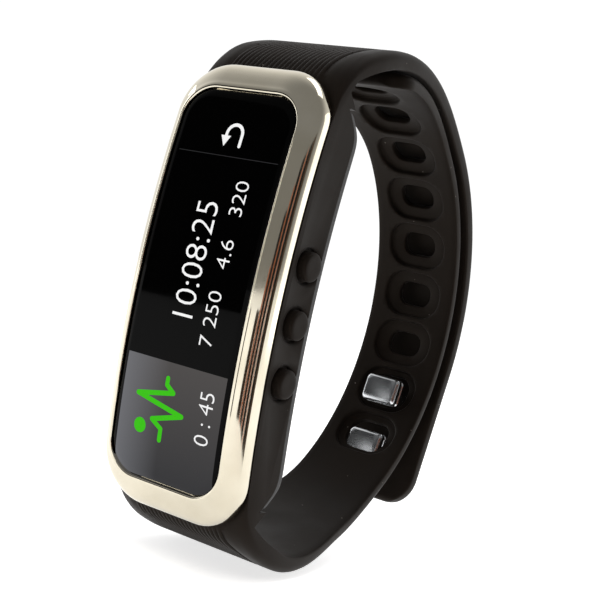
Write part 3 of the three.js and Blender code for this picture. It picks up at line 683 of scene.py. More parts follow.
digits("display_large_digits", "10:08:25", 3.3, 1.0, -3.8, 14.3, lit_white)
digits("display_small_digits", "7 250   4.6   320", 2.0, 4.7, -6.6, 20.2, lit_white)
digits("display_panel_digits", "0 : 45", 2.2, 6.6, -18.3, 6.4, lit_white)
hook = [(-0.95, 18.9)] + arc(0.25, 19.1, 1.2, 180, 0) + [(1.45, 17.7)]
head = [(-0.95, 17.5), (-0.2, 18.85), (-1.7, 18.85)]
symbol("display_back_arrow", [hook], 0.42, lit_white, [head])
symbol("display_divider", [[(-7.6, 16.3), (7.9, 16.3)]], 0.09, lit_line)
pulse = [
    (-1.0, -19.3),
    (-1.0, -17.9),
    (-2.6, -17.0),
    (2.0, -15.7),
    (-5.4, -14.3),
    (0.2, -13.2),
    (-1.0, -12.4),
    (-1.0, -11.6),
]
symbol("display_pulse_line", [pulse], 0.62, lit_green, [arc(-4.4, -18.2, 0.95, 0, 345, 20)])

# %% [markdown]
# ## Moulded ribs
# The band's outer face is ribbed where it bends away from the module: some twenty fine cords side by side,
# which run along the strap and close in as it narrows. Cutting them by hand would be hopeless, and an
# image would not bend. Geometry Nodes does it by rule: each point of the face carries how far across
# the strap it is and how much rib it should have, and the tree presses grooves in along the normal.


# %% The rib tree
def new_tree(name, **inputs):
    """A geometry tree with its named inputs, and the node that gives them."""
    tree = bpy.data.node_groups.new(name, "GeometryNodeTree")
    face = tree.interface
    face.new_socket("Geometry", in_out="INPUT", socket_type="NodeSocketGeometry")
    for key, kind in inputs.items():
        face.new_socket(key, in_out="INPUT", socket_type=f"NodeSocket{kind}")
    face.new_socket("Material", in_out="INPUT", socket_type="NodeSocketMaterial")
    face.new_socket("Geometry", in_out="OUTPUT", socket_type="NodeSocketGeometry")
    return tree, node(tree, "NodeGroupInput")


def close_tree(tree, source, geometry):
    """Every tree ends alike: the instances are made real and the material is set."""
    whole = node(tree, "GeometryNodeRealizeInstances", "Geometry", Geometry=geometry)
    material = source.outputs["Material"]
    made = node(tree, "GeometryNodeSetMaterial", "Geometry", Geometry=whole, Material=material)
    node(tree, "NodeGroupOutput", Geometry=made)
    return tree


def rib_tree():
    tree, source = new_tree("moulded_ribs", Pitch="Float", Depth="Float")

    def value(operation, a, b=0.0):
        return node(tree, "ShaderNodeMath", 0, {"operation": operation}, i0=a, i1=b)

    across = node(tree, "GeometryNodeInputNamedAttribute", "Attribute", Name="across")
    share = node(tree, "GeometryNodeInputNamedAttribute", "Attribute", Name="rib")
    turn = value("DIVIDE", value("MULTIPLY", across, math.pi), source.outputs["Pitch"])
    crest = value("ABSOLUTE", value("SINE", turn))
    groove = value("POWER", value("SUBTRACT", 1.0, crest), 1.6)
    depth = value("MULTIPLY", value("MULTIPLY", groove, share), source.outputs["Depth"])
    normal = node(tree, "GeometryNodeInputNormal", "Normal")
    inwards = value("MULTIPLY", depth, -1.0)
    scale = {"operation": "SCALE"}
    shift = node(tree, "ShaderNodeVectorMath", "Vector", scale, i0=normal, Scale=inwards)
    whole = source.outputs["Geometry"]
    pressed = node(tree, "GeometryNodeSetPosition", "Geometry", Geometry=whole, Offset=shift)
    return close_tree(tree, source, pressed)


def run_tree(obj, tree, **values):
    """Runs a geometry tree on a piece and keeps the result as its own mesh."""
    change = obj.modifiers.new(tree.name, "NODES")
    change.node_group = tree
    inputs = [item for item in tree.interface.items_tree if item.in_out == "INPUT"]
    sockets = {item.name: item.identifier for item in inputs}
    for name, value in values.items():
        change[sockets[name]] = value
    return bake(obj)


RIBS = rib_tree()
RIB_PITCH = 0.73
RIB_COUNT = 20
RIB_DEPTH = 0.26
RIB_FIELD = RIB_PITCH * RIB_COUNT / 2  # half width of the ribbed field where the strap is widest
print("ribs:", RIB_COUNT, "at", RIB_PITCH, "mm")

# %% [markdown]
# ## The section of a strap
# A strap's section is flat on the wrist side and rounded along both outer edges, with a nearly upright
# side between. The columns of points across the outer face are set out eight to a rib, so that each
# groove has a point at its bottom.

# %% Section of the band
EDGE_SHARE = 0.127  # how much of the half width the rounded edge takes
EDGE_STEPS = 6
OUTER_ROUND = 1.3
INNER_ROUND = 0.3
POINTS_TO_A_RIB = 8
RIBS_FROM, RIBS_TO = math.radians(78), math.radians(82)  # the ribs rise between these angles
TIP_RADIUS = 4.2  # corners of a strap's tip
TIP_EDGE = 0.9  # length over which the tip thins to a rounded edge
TIP_SPAN = 5.4  # length that needs closer sections
TIP_TURN = 31.0  # millimetres of strap to a radian there


def outer_columns():
    """Shares of the half width across the outer face, and how far each is from the middle in mm."""
    ribs = np.linspace(-RIB_FIELD, RIB_FIELD, RIB_COUNT * POINTS_TO_A_RIB + 1)
    border = np.linspace(RIB_FIELD, MODULE[0] * (1 - EDGE_SHARE), 4)[1:]
    return np.concatenate([-border[::-1], ribs, border])


COLUMNS = outer_columns()
COLUMN_RIB = np.where(np.abs(COLUMNS) <= RIB_FIELD + 1e-6, 1.0, 0.0)


def section(half_width, thickness, inner_round, outer_round, inner_steps=18):
    """Points (x, height, across, rib) round a strap's section; height 0 is the wrist side."""
    rows = []
    flat = half_width - inner_round
    for x in np.linspace(-flat, flat, inner_steps):
        rows.append((x, 0.0, 0.0, 0.0))
    for i in range(1, 4):
        turn = i / 3 * math.pi / 2
        rows.append((flat + inner_round * math.sin(turn), inner_round * (1 - math.cos(turn)), 0, 0))
    reach = half_width * EDGE_SHARE
    for i in range(EDGE_STEPS):
        turn = i / EDGE_STEPS * math.pi / 2
        x = half_width - reach + reach * math.cos(turn)
        rows.append((x, thickness - outer_round + outer_round * math.sin(turn), 0, 0))
    for column, rib in zip(COLUMNS[::-1], COLUMN_RIB[::-1]):
        rows.append((column / MODULE[0] * half_width, thickness, column, rib))
    for i in range(EDGE_STEPS - 1, -1, -1):
        turn = i / EDGE_STEPS * math.pi / 2
        x = half_width - reach + reach * math.cos(turn)
        rows.append((-x, thickness - outer_round + outer_round * math.sin(turn), 0, 0))
    for i in range(3, 0, -1):
        turn = i / 3 * math.pi / 2
        rows.append((-flat - inner_round * math.sin(turn), inner_round * (1 - math.cos(turn)), 0, 0))
    return np.array(rows)


def keep_attributes(obj, across, rib):
    for name, values in (("across", across), ("rib", rib)):
        attribute = obj.data.attributes.new(name, "FLOAT", "POINT")
        attribute.data.foreach_set("value", np.asarray(values, np.float32))


def strap_piece(name, point, angles, thickness, rib_share, tip=None):
    """A strap laid section by section. point(angle, height) gives (y, z); tip draws the end in."""
    loops, across, rib = [], [], []
    for angle in angles:
        half_width = float(strap_half_width(angle))
        squeeze = 1.0
        if tip is not None:
            left = abs(tip - angle) * TIP_TURN
            if left < TIP_RADIUS:
                drawn = TIP_RADIUS - left
                half_width -= TIP_RADIUS - math.sqrt(max(TIP_RADIUS**2 - drawn**2, 0.0))
            if left < TIP_EDGE:
                squeeze = math.sqrt(max(1 - (1 - left / TIP_EDGE) ** 2, 0.0)) * 0.85 + 0.15
        seam = float(smoothstep(abs(angle), math.radians(104), math.radians(112)))
        inner_round = INNER_ROUND - 0.28 * seam
        rows = section(half_width, thickness, inner_round, min(OUTER_ROUND, 0.55 * thickness))
        height = thickness / 2 + (rows[:, 1] - thickness / 2) * squeeze
        y, z = point(angle, height)
        loops.append(np.column_stack([rows[:, 0], y, z]))
        across.append(rows[:, 2])
        rib.append(rows[:, 3] * rib_share(angle))
    obj = lay_loops(name, loops, silicone)
    keep_attributes(obj, np.concatenate(across), np.concatenate(rib))
    bpy.context.view_layer.update()
    return obj


def angle_steps(start, end, step_degrees, tip=False):
    """Angles from start to end, closing up towards a rounded tip."""
    count = max(2, int(abs(end - start) / math.radians(step_degrees)))
    angles = list(np.linspace(start, end, count + 1))
    if tip:
        span = TIP_SPAN / TIP_TURN * math.copysign(1, end - start)
        near = [end - span * (1 - math.sin(i / 22 * math.pi / 2)) for i in range(23)]
        angles = [a for a in angles if abs(end - a) > abs(span)] + near
    return angles


# %% [markdown]
# ## Outer strap and clasp end
# The outer strap leaves the top of the module, bends over the wrist and runs down the back as the clasp
# end. It is one moulding; it is laid as two pieces that meet where nothing bends, because each piece can
# follow only one joint.

# %% Outer strap and clasp end
PIECE_SEAM = math.radians(24)
TAIL_END = math.radians(-48.5)


def outer_ribs(angle):
    return float(smoothstep(abs(angle), RIBS_FROM, RIBS_TO))


upper_angles = angle_steps(ROOT_ANGLE, PIECE_SEAM, 0.9)
upper = strap_piece("outer_strap", clasp_point, upper_angles, STRAP_THICKNESS, outer_ribs)
finish_mesh(upper, 60)
run_tree(upper, RIBS, Pitch=RIB_PITCH, Depth=RIB_DEPTH * MM, Material=silicone)
finish_mesh(upper, 60)
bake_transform(upper)
settle(upper, None, "silicone", "upper_strap")

tail = strap_piece(
    "clasp_end",
    clasp_point,
    angle_steps(PIECE_SEAM, TAIL_END, 1.0, tip=True),
    STRAP_THICKNESS,
    lambda angle: 0.0,
    tip=TAIL_END,
)
finish_mesh(tail, 60)
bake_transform(tail)
settle(tail, None, "silicone", "clasp_tail")

# %% [markdown]
# ## Slotted strap
# The inner strap has nine slots, each at the bottom of a shallow, softly edged recess. The strap is made
# flat first: the slot cutter is one small solid, Geometry Nodes sets it out along the strap at the slot
# pitch, and one cut takes them all out. The tree runs twice, as the two slots that hold the studs are
# stretched wider. Only then is the strap bent round the wrist.

# %% Slots in a flat strap, then the bend
SLOT_PITCH = 7.9
SLOT_COUNT = 9
STUD_ANGLE = math.radians(-20.5)
STUD_SEAT = 0.2
SLOTTED_FROM = -ROOT_ANGLE
SLOTTED_TO = math.radians(101)

fine_angles = np.linspace(SLOTTED_FROM, SLOTTED_TO, 4001)
middle_y, middle_z = slotted_point(fine_angles, 0.5)
steps_mm = np.hypot(np.diff(middle_y), np.diff(middle_z))
run_mm = np.concatenate([[0], np.cumsum(steps_mm)])


def slot_tree():
    tree, source = new_tree("slots_along_the_strap", Count="Int", Pitch="Float", First="Float")
    start = node(tree, "ShaderNodeCombineXYZ", "Vector", Y=source.outputs["First"])
    step = node(tree, "ShaderNodeCombineXYZ", "Vector", Y=source.outputs["Pitch"])
    places = {"Count": source.outputs["Count"], "Start_Location": start, "Offset": step}
    line = node(tree, "GeometryNodeMeshLine", "Mesh", **places)
    one = source.outputs["Geometry"]
    placed = node(tree, "GeometryNodeInstanceOnPoints", "Instances", Points=line, Instance=one)
    return close_tree(tree, source, placed)


def slot_cutter(name, hole_size):
    """Layers of (growth of the outline, depth) from outside the strap to above its wrist side."""
    hole = [(0.4, 3.0), (0.16, 1.98), (0.04, 1.84), (0.0, 1.7), (0.0, 1.0), (0.05, 0.88), (0.16, 0.81)]
    dish = [(-0.5, 0.8), (-0.34, 0.78), (-0.22, 0.7), (-0.15, 0.56), (-0.13, 0.3), (-0.1, 0.14)]
    dish += [(0.0, 0.04), (0.12, -0.01), (0.22, -0.06), (0.24, -0.5)]
    loops = []
    for sizes, profile in ((hole_size, hole), ((9.8, 7.3, 3.3), dish)):
        for growth, depth in profile:
            ring = outline(sizes[0] / 2 + growth, sizes[1] / 2 + growth, sizes[2] + growth, 8, 4, 6)
            loops.append(np.column_stack([ring[:, 0], ring[:, 1], np.full(len(ring), depth)]))
    return finish_mesh(lay_loops(name, loops, silicone))


def on_flat(angle, height):
    return np.full(len(height), np.interp(angle, fine_angles, run_mm)), height


slotted_strap = strap_piece(
    "slotted_strap_band",
    on_flat,
    angle_steps(SLOTTED_FROM, SLOTTED_TO, 1.0, tip=True),
    SLOTTED_THICKNESS,
    outer_ribs,
    tip=SLOTTED_TO,
)
finish_mesh(slotted_strap, 60)
run_tree(slotted_strap, RIBS, Pitch=RIB_PITCH, Depth=RIB_DEPTH * MM, Material=silicone)
first_slot = float(np.interp(STUD_ANGLE, fine_angles, run_mm)) + STUD_SEAT - SLOT_PITCH
SLOTS = slot_tree()
HELD_SLOTS = 2  # these two are stretched open by the studs
cutters = []
for name, size, count, skipped in (
    ("held_slots", (6.7, 5.2, 2.1), HELD_SLOTS, 0),
    ("free_slots", (5.5, 3.6, 1.6), SLOT_COUNT - HELD_SLOTS, HELD_SLOTS),
):
    start = (first_slot + skipped * SLOT_PITCH) * MM
    one = slot_cutter(name, size)
    cutters.append(
        run_tree(one, SLOTS, Count=count, Pitch=SLOT_PITCH * MM, First=start, Material=silicone)
    )
cut_away(slotted_strap, cutters)
for vertex in slotted_strap.data.vertices:
    x, along, height = vertex.co / MM
    angle = float(np.interp(along, run_mm, fine_angles))
    y, z = slotted_point(angle, height / SLOTTED_THICKNESS)
    vertex.co = Vector((x, float(y), float(z))) * MM
finish_mesh(slotted_strap, 40)
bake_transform(slotted_strap)
settle(slotted_strap, None, "silicone", "slotted_strap")

# %% [markdown]
# ## Sleeve round the module
# The module sits in a sleeve moulded in one with the straps: thin walls along its sides, and solid ends
# that rise from the bezel into the ribbed straps. Seen from the side it is one outline, so it is laid
# as that outline carried across the width, with the outer edges rounded and the ribs pressed in. Then
# the room for the case and the wells for the three keys are cut out of it.

# %% Sleeve outline
SLEEVE_FRONT = 3.7
FRONT_STEPS = 24
POCKET_Z = 27.0
FLANGE_END_Z = 25.2
FLANGE_SEAM = 1.5


def hermite(p0, p1, t0, t1, steps):
    rows = []
    for i in range(steps + 1):
        s = i / steps
        h = (2 * s**3 - 3 * s**2 + 1, s**3 - 2 * s**2 + s, -2 * s**3 + 3 * s**2, s**3 - s**2)
        rows.append(tuple(h[0] * p0[k] + h[1] * t0[k] + h[2] * p1[k] + h[3] * t1[k] for k in (0, 1)))
    return rows


def corner_z(x):
    """Where the sleeve's front meets its end, which follows the bezel's rounded corner."""
    beyond = max(0.0, abs(x) - (MODULE[0] - MODULE[2]))
    return MODULE[1] - MODULE[2] + math.sqrt(max(MODULE[2] ** 2 - beyond**2, 0.0)) + 0.1


def sleeve_half(x, drop, end):
    """Half of the outline at a place across the width, as (y, z, rib).

    It goes along the front, round the root and back along the rear, with z counted outwards from the
    middle. drop is how far the outer edge is rounded off; end is 1 for the upper half, -1 for the lower.
    """

    def on_loop(angle, out):
        y, z = loop_point(CLASP_LOOP, end * angle, out)
        return float(y), float(z * end)

    rows = []
    top = corner_z(x)
    for i in range(FRONT_STEPS + 1):
        z = top * i / FRONT_STEPS
        rows.append((layer_y(SLEEVE_FRONT, z), z, 0.0))
    start = (float(rows[-1][0]), top)
    laid = on_loop(ROOT_ANGLE, STRAP_THICKNESS - drop)
    reach = math.dist(start, laid)
    upright = max(0.0, abs(x) - MODULE[0] + MODULE[2]) / MODULE[2]  # the sides hug the bezel's corner
    first = (0.35 * reach * (1 - upright), (0.76 + 0.3 * upright) * reach)
    rise = hermite(start, laid, first, (0.82 * reach, 0.35 * reach), 22)
    for i, (y, z) in enumerate(rise[1:], 1):
        rows.append((y, z, min(1, i / 5)))
    inner = on_loop(ROOT_ANGLE, 0)
    for i in range(1, 6):  # the face where the strap is laid on
        rows.append((*(laid[k] + (inner[k] - laid[k]) * i / 6 for k in (0, 1)), 0.0))
    for i in range(9):
        rows.append((*on_loop(ROOT_ANGLE + math.radians(i), 0), 0.0))
    rows.append((layer_y(rear_depth(POCKET_Z), POCKET_Z), POCKET_Z, 0.0))
    for back in (0.0, FLANGE_SEAM):
        depth = rear_depth(FLANGE_END_Z) - back
        rows.append((layer_y(depth, FLANGE_END_Z), FLANGE_END_Z, 0.0))
    for z in np.concatenate([np.linspace(FLANGE_END_Z - 0.4, 19.6, 13), np.linspace(18, 0, 12)]):
        rows.append((layer_y(rear_depth(z) - FLANGE_SEAM, z), z, 0.0))
    return rows


def sleeve_outline(x, drop):
    upper = sleeve_half(x, drop, 1)
    lower = [(y, -z, rib) for y, z, rib in sleeve_half(x, drop, -1)[1:-1]]
    return np.array(upper + lower[::-1], float)


# %% Sleeve
reach = MODULE[0] * EDGE_SHARE
edge_turns = np.arange(EDGE_STEPS + 1) / EDGE_STEPS * math.pi / 2
side_x = MODULE[0] - reach + reach * np.sin(edge_turns[1:])
side_drop = OUTER_ROUND * (1 - np.cos(edge_turns[1:]))
all_x = np.concatenate([-side_x[::-1], COLUMNS, side_x])
all_drop = np.concatenate([side_drop[::-1], np.zeros(len(COLUMNS)), side_drop])
all_across = np.concatenate([np.zeros(EDGE_STEPS), COLUMNS, np.zeros(EDGE_STEPS)])
all_rib = np.concatenate([np.zeros(EDGE_STEPS), COLUMN_RIB, np.zeros(EDGE_STEPS)])

loops, across, rib = [], [], []
for x, drop, column, share in zip(all_x, all_drop, all_across, all_rib):
    rows = sleeve_outline(x, drop)
    loops.append(np.column_stack([np.full(len(rows), x), rows[:, :2]]))
    across.append(np.full(len(rows), column))
    rib.append(rows[:, 2] * share)
sleeve = lay_loops("band_sleeve_shell", loops, silicone)
keep_attributes(sleeve, np.concatenate(across), np.concatenate(rib))
finish_mesh(sleeve, 60)
run_tree(sleeve, RIBS, Pitch=RIB_PITCH, Depth=RIB_DEPTH * MM, Material=silicone)

room = lay_loops(
    "case_room",
    [bowed_loop(10.1, 26.9, 5.6, depth) for depth in (-4.0, 24.0)],
    silicone,
)
finish_mesh(room)
KEY_HEIGHTS = {"upper": 5.35, "middle": -1.9, "lower": -9.15}
KEY_DEPTH = 7.2
WELL_PROFILE = [(9.0, 2.15), (10.5, 2.15), (10.72, 2.25), (10.9, 2.45), (11.0, 2.72), (11.4, 3.2)]
wells = []
for key, z in KEY_HEIGHTS.items():
    centre = (0, float(layer_y(KEY_DEPTH, z)), z)
    well = turned(f"well_{key}", WELL_PROFILE, "X", centre, silicone)
    wells.append(finish_mesh(well))
cut_away(sleeve, [room, *wells])
finish_mesh(sleeve, 42)
settle(sleeve, "tracker", "silicone", "band_sleeve")

# %% [markdown]
# ## Keys
# The three keys are silicone buttons of the same black as the wall. Each stands a little proud of a shallow
# well, with a flat face and a soft shoulder. They are turned round their own axis, and slide along it.

# %% Keys
KEY_PROFILE = [
    (10.4, 2.1),
    (10.4, 2.1),
    (10.42, 1.92),
    (10.6, 1.85),
    (11.3, 1.85),
    (11.55, 1.8),
    (11.7, 1.66),
    (11.76, 1.4),
    (11.77, 1.0),
    (11.75, 0.02),
]
for key, z in KEY_HEIGHTS.items():
    centre = (0, float(layer_y(KEY_DEPTH, z)), z)
    cap = [(KEY_PROFILE[0][0], 0.02), *rounded(KEY_PROFILE, 1)]
    button = finish_mesh(turned(f"key_{key}", cap, "X", centre, silicone), 50)
    settle(button, f"side_button_{key}", "silicone", f"side_button_{key}")

# %% [markdown]
# ## Clasp studs and plate
# A steel plate lies on the outside of the clasp end. Two studs run from it through the strap, and each ends
# in a flat, chamfered head with a groove near one end, wide enough to hold in its slot.


# %% Clasp
def strap_frame(angle, height):
    """Turns (x across, y inwards, z down the strap) into place at an angle of the outer strap."""
    y, z = clasp_point(angle, height)
    ya, za = clasp_point(angle + 0.002, height)
    yb, zb = clasp_point(angle - 0.002, height)
    down = np.array([0.0, float(yb - ya), float(zb - za)])
    down /= np.linalg.norm(down)
    across = np.array([1.0, 0.0, 0.0])
    inwards = np.cross(down, across)
    return np.array([0.0, float(y), float(z)]), np.column_stack([across, inwards, down])


def block(name, frame_at, layers, material, sharp=25):
    """A rounded block from layers of (half width, half height, corner, distance inwards)."""
    origin, turn = frame_at
    loops = []
    for half_width, half_height, corner, inwards in layers:
        ring = outline(half_width, half_height, corner, 5, 4, 4)
        local = np.column_stack([ring[:, 0], np.full(len(ring), inwards), ring[:, 1]])
        loops.append(origin + local @ turn.T)
    return finish_mesh(lay_loops(name, loops, material), sharp)


def arc_length_angle(start, distance):
    angles = np.linspace(start, start - 0.4, 2001)
    y, z = clasp_point(angles, STRAP_THICKNESS / 2)
    run = np.concatenate([[0], np.cumsum(np.hypot(np.diff(y), np.diff(z)))])
    return float(np.interp(distance, run, angles))


STUD_START = -2.3  # inside the plate, on the far side of the strap
STUD_LENGTH = 5.85
STUD_NECK = (1.7, 1.1, 0.7)
STUD_HEAD = (2.9, 2.05, 0.7)
STUD_PITCH = SLOT_PITCH + 0.7
stud_angles = {"upper": STUD_ANGLE, "lower": arc_length_angle(STUD_ANGLE, STUD_PITCH)}
stud_layers = [
    (*STUD_NECK, STUD_START),
    (*STUD_NECK, STUD_LENGTH - 2.3),
    (2.3, 1.65, 0.7, STUD_LENGTH - 2.05),
    (2.85, 2.02, 0.7, STUD_LENGTH - 1.95),
    (*STUD_HEAD, STUD_LENGTH - 1.85),
    (*STUD_HEAD, STUD_LENGTH - 1.62),
    (2.75, 1.9, 0.6, STUD_LENGTH - 1.5),  # the groove
    (2.72, 1.87, 0.6, STUD_LENGTH - 1.3),
    (2.85, 2.0, 0.65, STUD_LENGTH - 1.16),
    (*STUD_HEAD, STUD_LENGTH - 1.0),
    (*STUD_HEAD, STUD_LENGTH - 0.42),
    (2.86, 2.01, 0.68, STUD_LENGTH - 0.34),
    (2.58, 1.73, 0.5, STUD_LENGTH - 0.04),
    (2.5, 1.65, 0.45, STUD_LENGTH),
]
for key, angle in stud_angles.items():
    stud = block(f"stud_{key}", strap_frame(angle, 0.0), stud_layers, stud_steel)
    settle(stud, "clasp_tail", "stud_steel", f"clasp_stud_{key}")

plate_layers = [
    (0.02, 0.02, 0.01, -0.2),
    (3.85, 6.95, 1.85, -0.2),
    (4.0, 7.1, 2.0, -0.32),
    (4.0, 7.1, 2.0, -0.78),
    (3.9, 7.0, 1.9, -0.93),
    (3.65, 6.75, 1.7, -1.0),
    (0.02, 0.02, 0.01, -1.02),
]
plate_angle = sum(stud_angles.values()) / 2
plate = block("clasp_back_plate", strap_frame(plate_angle, STRAP_THICKNESS), plate_layers, stud_steel)
settle(plate, "clasp_tail", "stud_steel", "clasp_plate")

# %% [markdown]
# ## Rear case
# The rear of the module is a black plastic cover. Its lip lies over the silicone walls and shows as a thin
# glossy line down the side. Its face is bowed like the front and slopes away at both ends. A low pad
# carries the two charging contacts, and four small screws sit in sunk holes near the corners.


# %% Rear case
def side_slab(name, outer, inner, half_width, round_mm, material):
    """A slab from its side outline, with the edges of its outer face rounded. Rows are (y, z)."""
    outer, inner = np.asarray(outer), np.asarray(inner)
    slopes = np.gradient(outer, axis=0)
    facing = np.column_stack([-slopes[:, 1], slopes[:, 0]])
    facing /= np.linalg.norm(facing, axis=1)[:, None]
    turns = np.arange(7) / 6 * math.pi / 2
    side = half_width - round_mm + round_mm * np.sin(turns)
    drop = round_mm * (1 - np.cos(turns))
    xs = np.concatenate([-side[::-1], np.linspace(-side[0], side[0], 12)[1:-1], side])
    drops = np.concatenate([drop[::-1], np.zeros(10), drop])
    loops = []
    for x, fall in zip(xs, drops):
        lowered = outer + facing * fall
        loop = np.vstack([lowered, inner[::-1]])
        loops.append(np.column_stack([np.full(len(loop), x), loop]))
    return finish_mesh(lay_loops(name, loops, material), 40)


REAR_HALF_WIDTH = 10.7
REAR_ROUND = 0.55
REAR_WALL = 1.3
HOLE_PROFILE = [(-0.8, 1.3), (-0.1, 1.3), (0.05, 1.42), (0.6, 1.9)]
end_heights = np.concatenate([[-25.0, -24.9], np.linspace(-24.5, -19.0, 12)])
heights = np.concatenate([end_heights, np.linspace(-17.5, 17.5, 19), -end_heights[::-1]])
end_round = np.array([0.3 if abs(z) == 25 else (0.08 if abs(z) == 24.9 else 0.0) for z in heights])
outer_rows = [(float(layer_y(rear_depth(z) - k, z)), z) for z, k in zip(heights, end_round)]
inner_rows = [(float(layer_y(rear_depth(z) - REAR_WALL, z)), z) for z in heights]
rear = side_slab("rear_cover", outer_rows, inner_rows, REAR_HALF_WIDTH, REAR_ROUND, case_plastic)
tub_loops = [
    bowed_loop(*sizes, depth)
    for sizes, depth in (
        ((9.9, 26.7, 5.4), 4.3),
        ((9.9, 26.7, 5.4), 5.9),
        ((9.9, 24.4, 4.4), 8.4),
        ((9.9, 24.0, 4.0), 9.0),
        ((8.8, 23.0, 3.4), 9.0),
        ((8.8, 24.0, 3.8), 7.2),
        ((8.8, 25.6, 4.3), 5.6),
        ((8.8, 25.6, 4.3), 4.3),
    )
]
tub = finish_mesh(lay_loops("rear_tub", tub_loops, case_plastic, endless=True), 40)
settle(tub, "tracker", "black_plastic")

PAD_Z = 12.0
pad_y = float(layer_y(MODULE_DEPTH, PAD_Z)) + 0.5
SCREW_PLACES = [(side * 6.1, end * 20.9) for side in (-1, 1) for end in (-1, 1)]
holes = []
for i, (x, z) in enumerate(SCREW_PLACES):
    place = (x, float(layer_y(MODULE_DEPTH, z)), z)
    holes.append(finish_mesh(turned(f"hole_{i}", HOLE_PROFILE, "Y", place, case_plastic)))
pad_layers = [(4.5, 2.3, 0.5, -0.9), (4.5, 2.3, 0.5, -0.2), (4.42, 2.22, 0.45, -0.07)]
pad_layers += [(4.25, 2.05, 0.4, 0.0), (0.02, 0.02, 0.01, 0.0)]
level = (np.array([0.0, pad_y, PAD_Z]), np.eye(3))
cut_away(rear, holes)
finish_mesh(rear, 35)
settle(rear, "tracker", "black_plastic", "rear_case")
pad = block("charging_pad_face", level, pad_layers, case_plastic)
settle(pad, "tracker", "black_plastic")

# %% Screws and contacts
SCREW_SUNK = 0.1
SCREW_PROFILE = [(-3.9, 0.02), (-3.9, 0.55), (-0.6, 0.55), (-0.6, 1.05), (-0.5, 1.1), (-0.12, 1.1)]
SCREW_PROFILE += [(-0.02, 1.02), (0.0, 0.9), (0.0, 0.02)]
SCREW_ARM = [(0.6, 0.13, 0.1, -0.28), (0.6, 0.13, 0.1, 0.3)]  # one arm of the cross recess
CONTACT_X = 2.0
CONTACT_PROFILE = [(-1.2, 0.02), (-1.2, 0.9), (0.02, 0.9), (0.08, 0.84), (0.1, 0.72), (0.1, 0.02)]
for i, (x, z) in enumerate(SCREW_PLACES, 1):
    place = (x, float(layer_y(MODULE_DEPTH, z)) - SCREW_SUNK, z)
    screw = finish_mesh(turned(f"screw_{i}", SCREW_PROFILE, "Y", place, stud_steel), 35)
    arms = [block("arm", (np.array(place), np.eye(3)), SCREW_ARM, stud_steel) for _ in range(2)]
    centre, quarter = Vector(place) * MM, Matrix.Rotation(math.pi / 2, 4, "Y")
    arms[1].data.transform(Matrix.Translation(centre) @ quarter @ Matrix.Translation(-centre))
    cut_away(screw, arms)
    finish_mesh(screw, 35)
    settle(screw, "tracker", "stud_steel", f"case_screw_{i}")
for i, side in enumerate((-1, 1), 1):
    place = (side * CONTACT_X, pad_y, PAD_Z)
    contact = finish_mesh(turned(f"contact_{i}", CONTACT_PROFILE, "Y", place, gold), 35)
    settle(contact, "tracker", "contact_gold", f"charge_contact_{i}")

# %% [markdown]
# ## Studio
# The band stands on a pale floor, in even light, as goods are shown. Large soft
# panels light it, and upright cards give the metal something to mirror: dark and copper ones stand close
# to its right side and draw the streaks down the bezel, and a black one far in front darkens the glass.

# %% Camera
camera_data = bpy.data.cameras.new("camera")
camera_data.lens = 75
camera_data.sensor_width = 36
camera_data.clip_start = 0.005
camera_data.clip_end = 20
camera = linked("camera", camera_data)
CAMERA_PLACE = Vector((0.09681, -0.14874, 0.0038))
right = Vector((0.7999, 0.5593, 0.2178)).normalized()
forward = Vector((-0.5698, 0.8216, -0.0170)).normalized()
up = right.cross(forward).normalized()
turn = Matrix((right, up, -forward)).transposed().to_4x4()
camera.matrix_world = Matrix.Translation(CAMERA_PLACE) @ turn
bpy.context.scene.camera = camera

# %% Floor, lights and room
FLOOR_Z = -34.6
FLOOR_HALF = 6000


def pale_floor():
    material, tree, shader, mm = new_finish("pale_floor")
    tone = noise(tree, mm, 0.004, 2.0)
    feed(
        tree,
        shader,
        Base_Color=mixed(tree, tone, to_linear("FAFAFA"), to_linear("F4F4F4")),
        Roughness=0.9,
        Specular_IOR_Level=0.1,
        Emission_Color=(1, 1, 1, 1),
        Emission_Strength=0.72,
    )
    return material


floor_signs = ((-1, -1), (1, -1), (1, 1), (-1, 1))
floor_corners = [(x * FLOOR_HALF, y * FLOOR_HALF, FLOOR_Z) for x, y in floor_signs]
new_object("floor", floor_corners, [(0, 1, 2, 3)], pale_floor())


def panel_light(name, place, aim, size, watts, colour=(1, 1, 1)):
    data = bpy.data.lights.new(name, "AREA")
    data.shape = "RECTANGLE"
    data.size, data.size_y = size
    data.energy = watts
    data.color = colour
    lamp = linked(name, data)
    lamp.location = place
    lamp.rotation_euler = (Vector(aim) - Vector(place)).to_track_quat("-Z", "Y").to_euler()
    return lamp


panel_light("overhead_panel", (0.05, 0.25, 0.7), (0, 0, 0), (0.5, 0.3), 1.1)
panel_light("left_panel", (-0.6, -0.1, 0.12), (0, 0, 0), (0.2, 0.4), 0.6)
panel_light("front_panel", (0.06, -0.7, 0.0), (0, 0, 0), (0.07, 0.5), 0.35, (1.0, 0.97, 0.9))
panel_light("right_panel", (0.3, 0.42, 0.02), (0, 0, 0), (0.2, 0.5), 0.42, (1.0, 0.98, 0.95))
fill = panel_light("upper_front_panel", (0.22, -0.4, 0.5), (0, 0, 0), (0.3, 0.3), 0.8, (1.0, 0.98, 0.94))
fill.visible_glossy = False

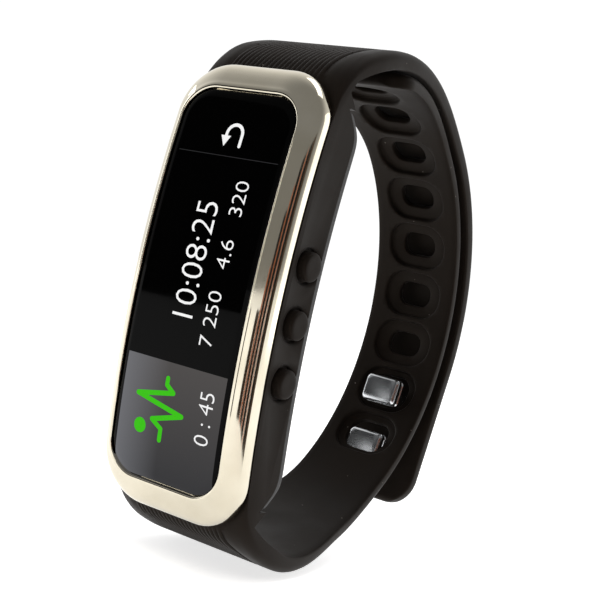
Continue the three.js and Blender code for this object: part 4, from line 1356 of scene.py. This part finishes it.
world = bpy.data.worlds.new("studio")
bpy.context.scene.world = world
world.use_nodes = True
sky = world.node_tree
sky.nodes.clear()
looking = node(sky, "ShaderNodeTexCoord", "Generated")
dot, smooth = {"operation": "DOT_PRODUCT"}, {"interpolation_type": "SMOOTHSTEP"}
facing = node(sky, "ShaderNodeVectorMath", "Value", dot, i0=looking, i1=(-0.57, 0.82, 0))
brightness = {"i1": -0.2, "i2": 0.8, "i3": 0.26, "i4": 1.06}  # brightest behind the band
glow = node(sky, "ShaderNodeMapRange", "Result", smooth, i0=facing, **brightness)
background = node(sky, "ShaderNodeBackground", "Background", Color=(1, 1, 1, 1), Strength=glow)
node(sky, "ShaderNodeOutputWorld", Surface=background)
bpy.context.scene.view_settings.view_transform = "Standard"


def card(name, azimuth, width, colour, distance=75, low=-34.4, high=34, centre=(11, -30)):
    """A flat upright card beside the band, in mm, which shows only in reflections."""
    material, tree, shader, mm = new_finish(name)
    tone = noise(tree, mm, 0.05, 2.0)
    feed(tree, shader, Base_Color=mixed(tree, tone, colour, colour), Roughness=0.9)
    a = math.radians(azimuth)
    middle = np.array([centre[0] + distance * math.cos(a), centre[1] + distance * math.sin(a)])
    across = np.array([-math.sin(a), math.cos(a)]) * width / 2
    left, right = middle - across, middle + across
    corners = [(*left, low), (*right, low), (*right, high), (*left, high)]
    obj = new_object(name, corners, [(0, 1, 2, 3)], material)
    obj.visible_camera = False
    obj.visible_shadow = False


for name, azimuth, width, colour, high in (
    ("low_dark_card", -52, 20, "2A1D14", -4),
    ("copper_low_card", -41, 7, "A0562B", 8),
    ("dark_card_near", -31, 18, "17110D", 22),
    ("copper_card", -21, 7, "A0562B", 28),
    ("dark_card_middle", -10, 20, "0C0806", 34),
    ("copper_line_card", 1, 5, "B4653A", 34),
    ("dark_card_far", 11, 18, "130D0A", 34),
    ("brown_card", 22, 12, "4A3A2C", 34),
):
    card(name, azimuth, width, to_linear(colour), high=high)
card("front_flag", -125, 260, to_linear("060606"), 600, -250, 250, (0, 0))
